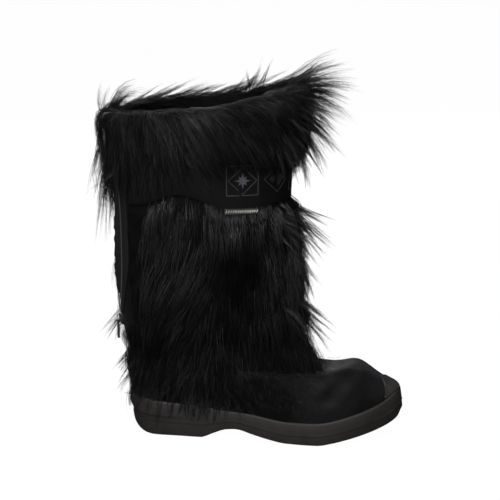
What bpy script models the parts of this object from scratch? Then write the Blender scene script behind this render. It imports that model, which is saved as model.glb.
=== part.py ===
# Right fur boot for snow: rubber cup sole, hollow padded upper, long-haired shaft and turned-down cuff.
# Metres, +Z up, +X to the toe, +Y to the inner side of a right foot. The origin is on the floor, at the
# middle of the heel's flat spot.

import math
from collections import namedtuple

import bmesh
import bpy
import numpy as np
from mathutils import Matrix, Vector

# Driving dimensions of the sole
SOLE_LENGTH = 0.285
HEEL_BACK = -0.052  # x of the back of the heel
HEEL_ROUNDING = 0.042  # length over which the outline closes at the heel
TOE_ROUNDING = 0.082  # length over which the outline closes at the toe
ROUNDING_POWER = 2.25
TREAD_SHARE = 0.38  # the lower layer of the side wall, set in a little, as a share of its height
TREAD_INSET = 0.0005
EDGE_CHAMFER = 0.0018
RIM_SHARE = 0.42  # the ledge round the top of the heel, as a share of the wall's height
RIM_PROUD = 0.0024
CUP_DEPTH = 0.003  # the upper stands this deep in the sole
TOE_LEAN = 0.0032  # how far the wall leans back at the tip of the toe
GROOVE_WIDTH = 0.0026
GROOVE_DEPTH = 0.0035
GROOVE_PITCH = 0.0145
HEEL_GROOVES = 0.0315  # the first groove under the heel, from the back of the heel
FOREFOOT_GROOVES = 0.1665
GROOVE_WAVE = 0.0035
GROOVE_MARGIN = 0.0055  # the grooves end this far inside the outline

# Driving dimensions of the upper and its trim
WALL = 0.0034
LEDGE_SIDE = 0.0032  # from the sole's edge in to the upper, at the sides
LEDGE_TOE = 0.0058
GAP = 0.0003  # between pieces that meet
SIDE_SWELL = 0.0035  # how far the foot swells out over the sole at its sides
TOE_SLOPE = 0.011  # how far the toe leans back over its first rise
TOE_FULL_X = 0.238  # the fullness over the toes: its middle, reach and height
TOE_FULL_REACH = 0.0190
TOE_FULL_HEIGHT = 0.0105
RING_STEPS = 48
FOOT_STEPS = 8
SHAFT_LEVELS = 10
INSOLE_THICKNESS = 0.005
INSOLE_CLEARANCE = 0.0054
BUMPER_SPREAD = math.radians(22)
BUMPER_LOW = 0.135  # where it starts, as a share of the way up the foot
BUMPER_HEIGHT = 0.27
BUMPER_BASE = 0.0026  # its thickness on the sole and at its top edge
BUMPER_EDGE = 0.0013

BAND_LOW = 0.2440
BAND_HIGH = 0.2960
BAND_THICKNESS = 0.0014
BAND_RISE = 0.0040  # how much higher its lower edge is at the front
ARCH_ANGLE = math.radians(263)  # where the lower edge of the band is pushed up
ARCH_SPREAD = math.radians(17)
ARCH_RISE = 0.0125
TAB_ANGLE = math.radians(302.5)  # where the band reaches down behind the trim bar
TAB_SPREAD = math.radians(21)
TAB_DROP = 0.0105
BAR_SPREAD = math.radians(12)
BAR_HEIGHT = 0.0062
BAR_THICKNESS = 0.0014

PELT_SIDE = 0.0070  # thickness of the long-haired hide at the sides and the back
PELT_FRONT = 0.0115
PELT_HEM = 0.104
CUFF_SIDE = 0.0070
CUFF_FRONT = 0.0130
CUFF_BACK = 0.0080
CROWN = 0.0062  # the cuff's height over the collar
CROWN_FRONT = 0.0080
CUFF_DROP = 0.052
CUFF_INSIDE_DROP = 0.020

# Driving dimensions of the zip, which stands open on the outer side of the back
ZIP_ANGLE = math.radians(180 + 18)
ZIP_BOTTOM = 0.122
ZIP_WIDEST = 0.190  # the level where it stands open widest
ZIP_STEPS = 13
ZIP_TOP_SPREAD = math.radians(6.5)
ZIP_MIDDLE_SPREAD = math.radians(13)
TAPE_LOW_WIDTH = 0.0060
TAPE_HIGH_WIDTH = 0.0120
TAPE_THICKNESS = 0.0009
ROW_START = 0.0055  # from the bottom of the opening up to the ends of the two rows
PIPING_RADIUS = 0.0011
BEAD = 0.0024
GUSSET_THICKNESS = 0.0012
GUSSET_MARGIN = math.radians(5.5)
GUSSET_BULGE = 0.0050
SLIDER_DROP = 0.0030  # from the bottom of the opening down to the slider's middle
PLATE_TOP = 0.0031  # the slider's plate, out from the shaft
EAR_OUT = 0.0031  # from the slider's middle to the outer face of each ear
EAR_THICKNESS = 0.0008
PULL_PIN = 0.0006  # radius of the pin
PULL_PIN_OUT = 0.0054
PULL_PIN_DOWN = -0.0005
PULL_LENGTH = 0.0190
PULL_WIDTH = 0.0064
PULL_NECK = 0.0033
PULL_THICKNESS = 0.0012
EYE_RADIUS = 0.0019
EYE_WIDTH = 0.0038

Breadth = namedtuple("Breadth", "x centre half")
SOLE_BREADTHS = (
    Breadth(x=0.000, centre=0.0000, half=0.0380),
    Breadth(x=0.040, centre=0.0000, half=0.0385),
    Breadth(x=0.085, centre=-0.0020, half=0.0385),
    Breadth(x=0.125, centre=-0.0040, half=0.0395),
    Breadth(x=0.165, centre=-0.0025, half=0.0455),
    Breadth(x=0.200, centre=0.0000, half=0.0512),
    Breadth(x=0.235, centre=0.0035, half=0.0515),
    Breadth(x=0.285, centre=0.0080, half=0.0480),
)

# Heights of the sole's underside and top edge above the floor, by distance from the back of the heel
Profile = namedtuple("Profile", "x under top")
SOLE_PROFILE = (
    Profile(x=0.000, under=0.0180, top=0.0395),
    Profile(x=0.006, under=0.0090, top=0.0392),
    Profile(x=0.013, under=0.0038, top=0.0388),
    Profile(x=0.020, under=0.0010, top=0.0383),
    Profile(x=0.028, under=0.0000, top=0.0375),
    Profile(x=0.079, under=0.0000, top=0.0330),
    Profile(x=0.092, under=0.0049, top=0.0315),
    Profile(x=0.106, under=0.0102, top=0.0303),
    Profile(x=0.117, under=0.0112, top=0.0298),
    Profile(x=0.135, under=0.0066, top=0.0280),
    Profile(x=0.154, under=0.0023, top=0.0250),
    Profile(x=0.171, under=0.0000, top=0.0230),
    Profile(x=0.204, under=0.0000, top=0.0236),
    Profile(x=0.217, under=0.0022, top=0.0256),
    Profile(x=0.236, under=0.0068, top=0.0306),
    Profile(x=0.255, under=0.0120, top=0.0362),
    Profile(x=0.270, under=0.0171, top=0.0420),
    Profile(x=0.278, under=0.0208, top=0.0472),
    Profile(x=0.2825, under=0.0240, top=0.0506),
    Profile(x=0.285, under=0.0290, top=0.0514),
)

# Level rings of the shaft's outer face, without its hair. x is from the back of the heel, and tilt is how
# much higher the front of the ring is than its middle.
Ring = namedtuple("Ring", "level back front half tilt")
SHAFT_RINGS = (
    Ring(level=0.078, back=-0.0025, front=0.2020, half=0.0470, tilt=-0.0125),
    Ring(level=0.092, back=-0.0055, front=0.1910, half=0.0490, tilt=-0.0030),
    Ring(level=0.110, back=-0.0090, front=0.1800, half=0.0525, tilt=0.0000),
    Ring(level=0.130, back=-0.0120, front=0.1740, half=0.0560, tilt=0.0005),
    Ring(level=0.186, back=-0.0145, front=0.1700, half=0.0615, tilt=0.0020),
    Ring(level=0.240, back=-0.0140, front=0.1655, half=0.0640, tilt=0.0040),
    Ring(level=0.290, back=-0.0180, front=0.1670, half=0.0660, tilt=0.0060),
    Ring(level=0.338, back=-0.0220, front=0.1700, half=0.0670, tilt=0.0080),
)
ANKLE = SHAFT_RINGS[0].level
COLLAR = SHAFT_RINGS[-1].level
SQUARENESS = 2.15  # power of the rings, where 2 is an ellipse

# Locks of hair, in rows round the boot. Angles are in degrees from the toe, outer side 180 to 360. lift is
# how far the lock stands off the surface, and lean turns it towards the toe.
LockRow = namedtuple("LockRow", "start end count level length width lift lean")
CUFF_LOCKS = (
    LockRow(start=214, end=318, count=12, level=0.295, length=0.036, width=0.0100, lift=0.10, lean=0.10),
    LockRow(start=324, end=396, count=9, level=0.305, length=0.044, width=0.0100, lift=0.60, lean=0.20),
    LockRow(start=404, end=544, count=15, level=0.295, length=0.044, width=0.0100, lift=0.22, lean=0.00),
    LockRow(start=316, end=404, count=8, level=0.334, length=0.040, width=0.0100, lift=0.95, lean=0.30),
    LockRow(start=322, end=398, count=6, level=0.338, length=0.060, width=0.0100, lift=1.80, lean=0.10),
    LockRow(start=418, end=544, count=8, level=0.328, length=0.044, width=0.0105, lift=0.28, lean=0.00),
    LockRow(start=516, end=544, count=4, level=0.300, length=0.070, width=0.0105, lift=0.16, lean=0.00),
    LockRow(start=218, end=228, count=2, level=0.300, length=0.060, width=0.0095, lift=0.14, lean=0.00),
)
SHAFT_LOCKS = (
    LockRow(start=231, end=334, count=11, level=0.122, length=0.044, width=0.0110, lift=0.18, lean=-0.10),
    LockRow(start=346, end=390, count=5, level=0.136, length=0.036, width=0.0100, lift=0.62, lean=0.00),
    LockRow(start=395, end=525, count=13, level=0.128, length=0.044, width=0.0110, lift=0.26, lean=0.00),
    LockRow(start=340, end=392, count=5, level=0.222, length=0.036, width=0.0095, lift=0.55, lean=0.05),
    LockRow(start=342, end=392, count=4, level=0.178, length=0.034, width=0.0095, lift=0.30, lean=0.00),
    LockRow(start=404, end=524, count=7, level=0.178, length=0.038, width=0.0100, lift=0.24, lean=0.00),
)

Finish = namedtuple("Finish", "colour roughness metallic")
FINISHES = {
    "rubber": Finish((0.030, 0.026, 0.025), 0.55, 0.0),
    "hide": Finish((0.012, 0.012, 0.013), 0.75, 0.0),
    "long_hair": Finish((0.008, 0.008, 0.009), 0.45, 0.0),
    "bumper": Finish((0.045, 0.040, 0.038), 0.42, 0.0),
    "felt": Finish((0.030, 0.029, 0.028), 0.95, 0.0),
    "ribbon": Finish((0.014, 0.014, 0.016), 0.60, 0.0),
    "gusset_cloth": Finish((0.014, 0.014, 0.015), 0.50, 0.0),
    "zip_tape": Finish((0.018, 0.018, 0.018), 0.60, 0.0),
    "piping": Finish((0.090, 0.092, 0.082), 0.50, 0.0),
    "zip_metal": Finish((0.120, 0.120, 0.115), 0.38, 0.8),
    "plain_metal": Finish((0.620, 0.600, 0.560), 0.30, 0.9),
}


def smooth_line(xs, ys):
    """A smooth curve through the points that never overshoots between them."""
    xs = np.asarray(xs, float)
    ys = np.asarray(ys, float)
    step = np.diff(xs)
    slope = np.diff(ys) / step
    bend = np.zeros(len(xs))
    for i in range(1, len(xs) - 1):
        if slope[i - 1] * slope[i] > 0:
            near, far = 2 * step[i] + step[i - 1], step[i] + 2 * step[i - 1]
            bend[i] = (near + far) / (near / slope[i - 1] + far / slope[i])

    def at(x):
        x = min(max(x, xs[0]), xs[-1])
        i = min(int(np.searchsorted(xs, x, side="right")) - 1, len(step) - 1)
        t = (x - xs[i]) / step[i]
        return float(
            (2 * t**3 - 3 * t**2 + 1) * ys[i]
            + (t**3 - 2 * t**2 + t) * step[i] * bend[i]
            + (3 * t**2 - 2 * t**3) * ys[i + 1]
            + (t**3 - t**2) * step[i] * bend[i + 1]
        )

    return at


def column(rows, key, name):
    """The smooth curve of one column of a table over another."""
    return smooth_line([getattr(r, key) for r in rows], [getattr(r, name) for r in rows])


def smoothstep(low, high, value):
    t = min(max((value - low) / (high - low), 0.0), 1.0)
    return t * t * (3 - 2 * t)


sole_centre = column(SOLE_BREADTHS, "x", "centre")
sole_half = column(SOLE_BREADTHS, "x", "half")
sole_under = column(SOLE_PROFILE, "x", "under")
sole_top = column(SOLE_PROFILE, "x", "top")
ring_back = column(SHAFT_RINGS, "level", "back")
ring_front = column(SHAFT_RINGS, "level", "front")
ring_half = column(SHAFT_RINGS, "level", "half")
ring_tilt = column(SHAFT_RINGS, "level", "tilt")


def end_rounding(x):
    """How far the outline has closed, 1 in the middle and 0 at the tip of the heel and toe."""
    heel = max(0.0, 1 - x / HEEL_ROUNDING)
    toe = max(0.0, 1 - (SOLE_LENGTH - x) / TOE_ROUNDING)
    return max(0.0, 1 - max(heel, toe) ** ROUNDING_POWER) ** (1 / ROUNDING_POWER)


def outline(steps):
    """The sole's outline from above, outer side from heel to toe and inner side back, with its normals."""
    xs = [SOLE_LENGTH * (1 - math.cos(math.pi * i / steps)) / 2 for i in range(steps + 1)]
    outer = [(x, sole_centre(x) - sole_half(x) * end_rounding(x)) for x in xs]
    inner = [(x, sole_centre(x) + sole_half(x) * end_rounding(x)) for x in xs[-2:0:-1]]
    points = np.array(outer + inner)
    along = np.roll(points, -1, axis=0) - np.roll(points, 1, axis=0)
    normals = np.stack([along[:, 1], -along[:, 0]], axis=1)
    normals /= np.linalg.norm(normals, axis=1)[:, None]
    return points, normals


def ledge(x):
    return LEDGE_SIDE + (LEDGE_TOE - LEDGE_SIDE) * smoothstep(0.20, 0.28, x)


def material(name):
    made = bpy.data.materials.get(name)
    if made:
        return made
    made = bpy.data.materials.new(name)
    made.use_nodes = True
    shader = made.node_tree.nodes["Principled BSDF"]
    finish = FINISHES[name]
    shader.inputs["Base Color"].default_value = (*finish.colour, 1)
    shader.inputs["Roughness"].default_value = finish.roughness
    shader.inputs["Metallic"].default_value = finish.metallic
    return made


def mesh_object(name, mesh, finish, collection):
    made = bpy.data.objects.new(name, mesh)
    collection.objects.link(made)
    if finish:
        mesh.materials.clear()
        mesh.materials.append(material(finish))
    return made


def loft(sections, wrap=False):
    """A closed mesh through a row of closed sections, joined end to end or capped."""
    mesh = bmesh.new()
    rings = [[mesh.verts.new(p) for p in section] for section in sections]
    count = len(rings[0])
    pairs = list(zip(rings, rings[1:])) + ([(rings[-1], rings[0])] if wrap else [])
    for first, second in pairs:
        for i in range(count):
            j = (i + 1) % count
            mesh.faces.new((first[i], first[j], second[j], second[i]))
    if not wrap:
        mesh.faces.new(rings[0][::-1])
        mesh.faces.new(rings[-1])
    bmesh.ops.remove_doubles(mesh, verts=mesh.verts, dist=1e-6)
    bmesh.ops.recalc_face_normals(mesh, faces=mesh.faces)
    made = bpy.data.meshes.new("loft")
    mesh.to_mesh(made)
    mesh.free()
    made.shade_smooth()
    made.set_sharp_from_angle(angle=math.radians(40))
    return made


def apply_boolean(target, other, operation, solver="EXACT"):
    """Cuts other from target, or joins it on, and removes other."""
    modifier = target.modifiers.new("boolean", "BOOLEAN")
    modifier.object = other
    modifier.operation = operation
    modifier.solver = solver
    bpy.context.view_layer.update()
    evaluated = target.evaluated_get(bpy.context.evaluated_depsgraph_get())
    mesh = bpy.data.meshes.new_from_object(evaluated)
    target.modifiers.clear()
    target.data = mesh
    bpy.data.objects.remove(other)


# The sole


def sole_wall(x):
    """The side wall's profile at x: (inset from the outline, height), from the bottom up."""
    under = sole_under(x)
    top = sole_top(x)
    tread = under + (top - under) * TREAD_SHARE
    rim = top - (top - under) * RIM_SHARE
    proud = RIM_PROUD * (1 - smoothstep(0.010, 0.085, x))
    lean = TOE_LEAN * smoothstep(0.255, SOLE_LENGTH, x)
    return (
        (EDGE_CHAMFER + TREAD_INSET, under),
        (TREAD_INSET, under + EDGE_CHAMFER),
        (lean * 0.2 + TREAD_INSET, tread),
        (lean * 0.2, tread + TREAD_INSET),
        (lean * 0.4, rim - RIM_PROUD),
        (lean * 0.5 - proud, rim),
        (lean * 0.85 - proud, top - EDGE_CHAMFER),
        (lean - proud + EDGE_CHAMFER / 2 * (1 - lean / TOE_LEAN), top),
        (ledge(x) - GAP * 2.6, top),
        (ledge(x) - GAP * 2.6, top - CUP_DEPTH),
    )


def make_outsole(collection):
    points, normals = outline(32)
    steps = len(points) // 2
    levels = len(sole_wall(0))
    mesh = bmesh.new()
    rings = []
    for level in range(levels):
        ring = []
        for (x, y), (nx, ny) in zip(points, normals):
            inset, height = sole_wall(x)[level]
            ring.append(mesh.verts.new((HEEL_BACK + x - nx * inset, y - ny * inset, height)))
        rings.append(ring)
    around = len(points)
    for lower, upper in zip(rings, rings[1:]):
        for i in range(around):
            j = (i + 1) % around
            mesh.faces.new((lower[i], lower[j], upper[j], upper[i]))
    for ring in (rings[0], rings[-1]):
        mesh.faces.new((ring[0], ring[1], ring[-1]))
        for i in range(1, steps - 1):
            mesh.faces.new((ring[i], ring[i + 1], ring[around - i - 1], ring[around - i]))
        mesh.faces.new((ring[steps - 1], ring[steps], ring[steps + 1]))
    bmesh.ops.recalc_face_normals(mesh, faces=mesh.faces)
    made = bpy.data.meshes.new("outsole")
    mesh.to_mesh(made)
    mesh.free()
    made.shade_smooth()
    made.set_sharp_from_angle(angle=math.radians(32))
    sole = mesh_object("outsole", made, "rubber", collection)
    cut_tread(sole, collection)
    return sole


def groove_cutter(x):
    """A wavy bar across the sole, as deep as a groove on both sides of the tread's surface at x."""
    slope = (sole_under(x + 0.002) - sole_under(x - 0.002)) / 0.004
    reach = sole_half(x) * end_rounding(x) - GROOVE_MARGIN
    across = np.linspace(sole_centre(x) - reach, sole_centre(x) + reach, 7)
    sections = []
    for k, y in enumerate(across):
        shift = GROOVE_WAVE * (-1) ** k / 2
        centre = Vector((HEEL_BACK + x + shift, y, sole_under(x + shift)))
        along = Vector((1, 0, slope)).normalized() * GROOVE_WIDTH / 2
        depth = Vector((-slope, 0, 1)).normalized() * GROOVE_DEPTH
        above, below = centre + depth, centre - depth
        sections.append([above + along, above - along, below - along, below + along])
    return loft(sections)


def cut_tread(sole, collection):
    """Cross grooves under the heel and the forefoot."""
    places = [HEEL_GROOVES + GROOVE_PITCH * k for k in range(4)]
    places += [FOREFOOT_GROOVES + GROOVE_PITCH * k for k in range(7)]
    for x in places:
        apply_boolean(sole, mesh_object("groove", groove_cutter(x), None, collection), "DIFFERENCE")


# The upper


def ring_point(angle, level, out=0.0):
    """A point of the shaft's outer face, moved out from it. Angles grow from the toe to the inner side."""
    front, back, half = ring_front(level), ring_back(level), ring_half(level)
    reach = (front - back) / 2
    cosine, sine = math.cos(angle), math.sin(angle)
    power = 2 / SQUARENESS
    x = (front + back) / 2 + reach * math.copysign(abs(cosine) ** power, cosine)
    y = half * math.copysign(abs(sine) ** power, sine)
    normal = ring_normal(angle, level)
    height = level + ring_tilt(level) * cosine
    return Vector((HEEL_BACK + x, y, height)) + normal * out


def ring_normal(angle, level):
    reach = (ring_front(level) - ring_back(level)) / 2
    half = ring_half(level)
    power = 2 - 2 / SQUARENESS
    cosine, sine = math.cos(angle), math.sin(angle)
    x = math.copysign(abs(cosine) ** power, cosine) / reach
    y = math.copysign(abs(sine) ** power, sine) / half
    return Vector((x, y, 0)).normalized()


def feather_line(angles):
    """Where each meridian of the foot starts on the sole, by the share of the way round the ankle."""
    points, normals = outline(80)
    places = zip(points, normals)
    inset = np.array([[x - nx * ledge(x), y - ny * ledge(x), sole_top(x)] for (x, y), (nx, ny) in places])
    half = len(points) // 2
    outer_side = inset[half::-1]
    inner_side = np.vstack([inset[half:], inset[:1]])
    fine = np.linspace(0, math.pi, 181)
    ankle = np.array([ring_point(a, ANKLE)[:2] for a in fine])
    travel = np.concatenate([[0], np.cumsum(np.linalg.norm(np.diff(ankle, axis=0), axis=1))])
    starts = []
    for angle in angles:
        turned = angle % (2 * math.pi)
        outer = turned > math.pi
        share = np.interp(2 * math.pi - turned if outer else turned, fine, travel / travel[-1])
        side = outer_side if outer else inner_side
        steps = np.linalg.norm(np.diff(side[:, :2], axis=0), axis=1)
        lengths = np.concatenate([[0], np.cumsum(steps)])
        x, y, top = (np.interp(share * lengths[-1], lengths, side[:, i]) for i in range(3))
        starts.append(Vector((HEEL_BACK + x, y, top - CUP_DEPTH + GAP * 2)))
    return starts


def foot_curve(start, angle, t):
    """A meridian of the foot, from the sole up to the ankle: t runs from 0 to 1."""
    end = ring_point(angle, ANKLE)
    if t == 0:
        return start
    ahead = (1 + math.cos(angle)) / 2
    outward = Vector((start.x - end.x, start.y - end.y, 0))
    reach = outward.length
    outward = outward.normalized() if reach > 1e-6 else ring_normal(angle, ANKLE)
    base = start + Vector((0, 0, CUP_DEPTH))
    rise = end.z - base.z
    swell = ring_normal(angle, ANKLE) * SIDE_SWELL * (1 - ahead**3)
    first = base + Vector((0, 0, rise * (0.36 + 0.44 * ahead**2))) + swell - outward * TOE_SLOPE * ahead**4
    second = end + outward * reach * 0.44 * ahead + Vector((0, 0, rise * (-0.36 + 0.80 * ahead**2)))
    t = (t * FOOT_STEPS - 1) / (FOOT_STEPS - 1)
    s = 1 - t
    point = base * s**3 + first * 3 * s * s * t + second * 3 * s * t * t + end * t**3
    away = (point.x - HEEL_BACK - TOE_FULL_X) / TOE_FULL_REACH
    point.z += TOE_FULL_HEIGHT * math.exp(-(away**2)) * smoothstep(0.045, 0.072, point.z)
    return point


def shaft_levels():
    """The levels of the wall's rings: closer together at the ankle, where it curves most."""
    return [ANKLE + (COLLAR - ANKLE) * (k / SHAFT_LEVELS) ** 1.25 for k in range(SHAFT_LEVELS + 1)]


def on_wall(angle, level, out=0.0):
    """A point over the shaft's own flat facets, moved out from them."""
    levels = shaft_levels()
    level = min(max(level, levels[0]), levels[-1])
    k = min(max(int(np.searchsorted(levels, level)) - 1, 0), len(levels) - 2)
    share = (level - levels[k]) / (levels[k + 1] - levels[k])
    return ring_point(angle, levels[k], out).lerp(ring_point(angle, levels[k + 1], out), share)


def outer_grid():
    """The outer face of the upper as a grid: the angle first, then the way up to the collar."""
    angles = [2 * math.pi * i / RING_STEPS for i in range(RING_STEPS)]
    grid = []
    for angle, start in zip(angles, feather_line(angles)):
        foot = [foot_curve(start, angle, k / FOOT_STEPS) for k in range(FOOT_STEPS)]
        grid.append(foot + [ring_point(angle, level) for level in shaft_levels()])
    return np.array(grid, float)


def grid_normals(grid):
    around = np.roll(grid, -1, axis=0) - np.roll(grid, 1, axis=0)
    up = np.gradient(grid, axis=1)
    normals = np.cross(around, up)
    return normals / np.linalg.norm(normals, axis=2)[:, :, None]


def make_upper(collection):
    """One hollow wall from the sole to the collar, open below, and slit at the zip."""
    outer = outer_grid()
    normals = grid_normals(outer)
    level = normals[:, :2] * (1, 1, 0)
    normals[:, :2] = level / np.linalg.norm(level, axis=2)[:, :, None]
    inner = outer - normals * WALL
    inner[:, 0, 2] = outer[:, 0, 2]
    inner[:, -1, 2] = outer[:, -1, 2]
    kept = [0, 2, 4, 6] + list(range(FOOT_STEPS, FOOT_STEPS + SHAFT_LEVELS + 1))
    sections = [list(outer[i]) + list(inner[i, kept][::-1]) for i in range(len(outer))]
    upper = mesh_object("upper", loft(sections, wrap=True), "hide", collection)
    apply_boolean(upper, mesh_object("slit", loft(slit_sections()), None, collection), "DIFFERENCE")
    return upper


def zip_spread(level):
    """Half the angle by which the zip stands open at a level."""
    if level < ZIP_WIDEST:
        share = max(0.0, level - ZIP_BOTTOM) / (ZIP_WIDEST - ZIP_BOTTOM)
        return ZIP_MIDDLE_SPREAD * math.sin(math.pi / 2 * share)
    share = smoothstep(ZIP_WIDEST, COLLAR, level)
    return ZIP_MIDDLE_SPREAD + (ZIP_TOP_SPREAD - ZIP_MIDDLE_SPREAD) * share


def zip_levels():
    """The levels at which the zip's parts are drawn, from the bottom of the opening to the collar."""
    return [ZIP_BOTTOM + (COLLAR - ZIP_BOTTOM) * k / ZIP_STEPS for k in range(ZIP_STEPS + 1)]


def slit_sections():
    """The wedge that opens the wall for the zip."""
    sections = []
    for level in zip_levels():
        spread = max(zip_spread(level), math.radians(0.8))
        low, high = ZIP_ANGLE - spread, ZIP_ANGLE + spread
        corners = [ring_point(low, level, 0.012), ring_point(high, level, 0.012)]
        corners += [ring_point(high, level, -0.012), ring_point(low, level, -0.012)]
        sections.append(corners)
    sections.append([p + Vector((0, 0, 0.03)) for p in sections[-1]])
    return sections


def make_insole(collection):
    points, normals = outline(24)
    inset = LEDGE_TOE + WALL + INSOLE_CLEARANCE
    sections = []
    steps = len(points) // 2
    for i in range(1, steps):
        x = points[i][0]
        height = sole_top(x) - CUP_DEPTH + GAP * 2
        outer_y = points[i][1] - normals[i][1] * inset
        inner_y = points[-i][1] - normals[-i][1] * inset
        if inner_y - outer_y < 0.004:
            continue
        outer_x = HEEL_BACK + x - normals[i][0] * inset
        inner_x = HEEL_BACK + x - normals[-i][0] * inset
        low, high = height, height + INSOLE_THICKNESS
        outer_edge = [(outer_x, outer_y, low), (outer_x, outer_y, high)]
        sections.append(outer_edge + [(inner_x, inner_y, high), (inner_x, inner_y, low)])
    return mesh_object("insole", loft(sections), "felt", collection)


def make_toe_bumper(collection):
    """A crescent of rubber that rises from the sole's ledge over the toe, thinner towards its top edge."""
    steps = 12
    sections = []
    for k in range(steps + 1):
        share = abs(2 * k / steps - 1)
        angle = BUMPER_SPREAD * (2 * k / steps - 1)
        start = feather_line([angle])[0]
        high = BUMPER_LOW + 0.02 + BUMPER_HEIGHT * (1 - share**1.6)
        outside, inside = [], []
        for j in range(4):
            t = BUMPER_LOW + (high - BUMPER_LOW) * j / 3
            point = foot_curve(start, angle, t)
            upward = (foot_curve(start, angle, t + 0.03) - point).normalized()
            out = foot_neighbour(angle, t).cross(upward).normalized()
            level = Vector((out.x, out.y, 0)).normalized()
            base = BUMPER_BASE + (BUMPER_EDGE - BUMPER_BASE) * share**4
            thick = BUMPER_EDGE + (base - BUMPER_EDGE) * (1 - j / 3) ** 1.3
            outside.append(point + (level if j == 0 else out) * thick)
            inside.append(point + out * GAP * 1.6)
        sections.append(outside + inside[::-1])
    return mesh_object("toe_bumper", loft(sections), "bumper", collection)


def foot_neighbour(angle, t):
    """The direction round the foot at a place on it."""
    step = 0.02
    before, after = feather_line([angle - step, angle + step])
    return (foot_curve(after, angle + step, t) - foot_curve(before, angle - step, t)).normalized()


# The trim of the shaft


def bump(angle, centre, spread, power):
    """A bump of height 1 round an angle, flatter on top with a higher power."""
    away = (angle - centre + math.pi) % (2 * math.pi) - math.pi
    return math.exp(-(abs(away / spread) ** power))


def band_edge(angle):
    """The lower edge of the band: pushed up at the arch, and lower behind the trim bar."""
    arch = ARCH_RISE * bump(angle, ARCH_ANGLE, ARCH_SPREAD, 2)
    tab = TAB_DROP * bump(angle, TAB_ANGLE, TAB_SPREAD, 4)
    return BAND_LOW + BAND_RISE * (1 + math.cos(angle)) / 2 + arch - tab


def trim_angles(spare):
    """Angles round the boot from one side of the zip to the other, on the wall's own meridians between."""
    low, high = ZIP_ANGLE + spare, ZIP_ANGLE + 2 * math.pi - spare
    step = 2 * math.pi / RING_STEPS
    inner = [step * k for k in range(2 * RING_STEPS) if low + step / 4 < step * k < high - step / 4]
    return [low] + inner + [high]


def level_at(angle, height):
    """The level whose ring passes a height at an angle."""
    level = height
    for _ in range(4):
        level = height - ring_tilt(level) * math.cos(angle)
    return level


def make_band(collection):
    sections = []
    for angle in trim_angles(ZIP_MIDDLE_SPREAD + math.radians(12)):
        low = level_at(angle, band_edge(angle))
        high = level_at(angle, BAND_HIGH)
        near, far = GAP, GAP + BAND_THICKNESS
        heights = [low + (high - low) * k / 3 for k in range(4)]
        face = [on_wall(angle, h, far) for h in heights]
        sections.append(face + [on_wall(angle, h, near) for h in heights[::-1]])
    return mesh_object("ribbon_band", loft(sections), "ribbon", collection)


def make_trim_bar(collection):
    """A plain curved bar of metal, on the band's lower edge at the front of the outer side."""
    low = band_edge(TAB_ANGLE) + 0.0026
    high = low + BAR_HEIGHT
    near = GAP * 2.4 + BAND_THICKNESS
    far = near + BAR_THICKNESS
    soft = BAR_THICKNESS / 2
    shape = [(low, near), (low, far - soft), (low + soft, far)]
    shape += [(high - soft, far), (high, far - soft), (high, near)]
    sections = []
    for k in range(9):
        angle = TAB_ANGLE + BAR_SPREAD * (k / 4 - 1)
        sections.append([on_wall(angle, level_at(angle, z), out) for z, out in shape])
    return mesh_object("trim_bar", loft(sections), "plain_metal", collection)


def lock(root, along, outward, length, width, droop):
    """A tapered lock of hair with three sides, which leaves its root along a direction and droops."""
    side = along.cross(outward).normalized()
    rings = []
    for share, size in ((0.0, 0.9), (0.42, 1.0), (1.0, 0.06)):
        centre = root + along * length * share - Vector((0, 0, droop * length * share * share))
        corners = ((0.5, -0.1), (-0.5, -0.1), (0.0, 0.32))
        rings.append([centre + (side * x + outward * y) * width * size for x, y in corners])
    return rings


def row_of_locks(row, thickness, random):
    """The locks of one row, from its table line, with their spread of sizes."""
    made = []
    for k in range(row.count):
        share = k / max(row.count - 1, 1)
        angle = math.radians(row.start + (row.end - row.start) * share + random.uniform(-2, 2))
        level = row.level + random.uniform(-0.006, 0.006)
        outward = ring_normal(angle, level)
        around = Vector((-outward.y, outward.x, 0))
        ahead = around * math.copysign(1, -math.sin(angle)) if abs(math.sin(angle)) > 0.2 else around * 0
        along = Vector((0, 0, -1)) * (1 - row.lift) + outward * min(row.lift, 0.9) + ahead * row.lean
        along = (along + around * random.uniform(-0.12, 0.12)).normalized()
        length = row.length * random.uniform(0.78, 1.18)
        width = row.width * random.uniform(0.85, 1.15)
        standing = (outward - along * along.dot(outward)).normalized()
        root = on_wall(angle, min(level, COLLAR), thickness(angle) * 0.62)
        made.append(lock(root, along, standing, length, width, 0.12))
    return made


def fuse_locks(target, locks, collection):
    """Joins locks of hair to the pelt that they grow on."""
    for rings in locks:
        apply_boolean(target, mesh_object("lock", loft(rings), None, collection), "UNION", "MANIFOLD")


def pelt_thickness(angle):
    return PELT_SIDE + (PELT_FRONT - PELT_SIDE) * smoothstep(0.2, 0.95, math.cos(angle))


def cuff_thickness(angle):
    front = (CUFF_FRONT - CUFF_SIDE) * smoothstep(0.3, 0.95, math.cos(angle))
    back = (CUFF_BACK - CUFF_SIDE) * smoothstep(0.3, 0.95, -math.cos(angle))
    return CUFF_SIDE + front + back


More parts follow.
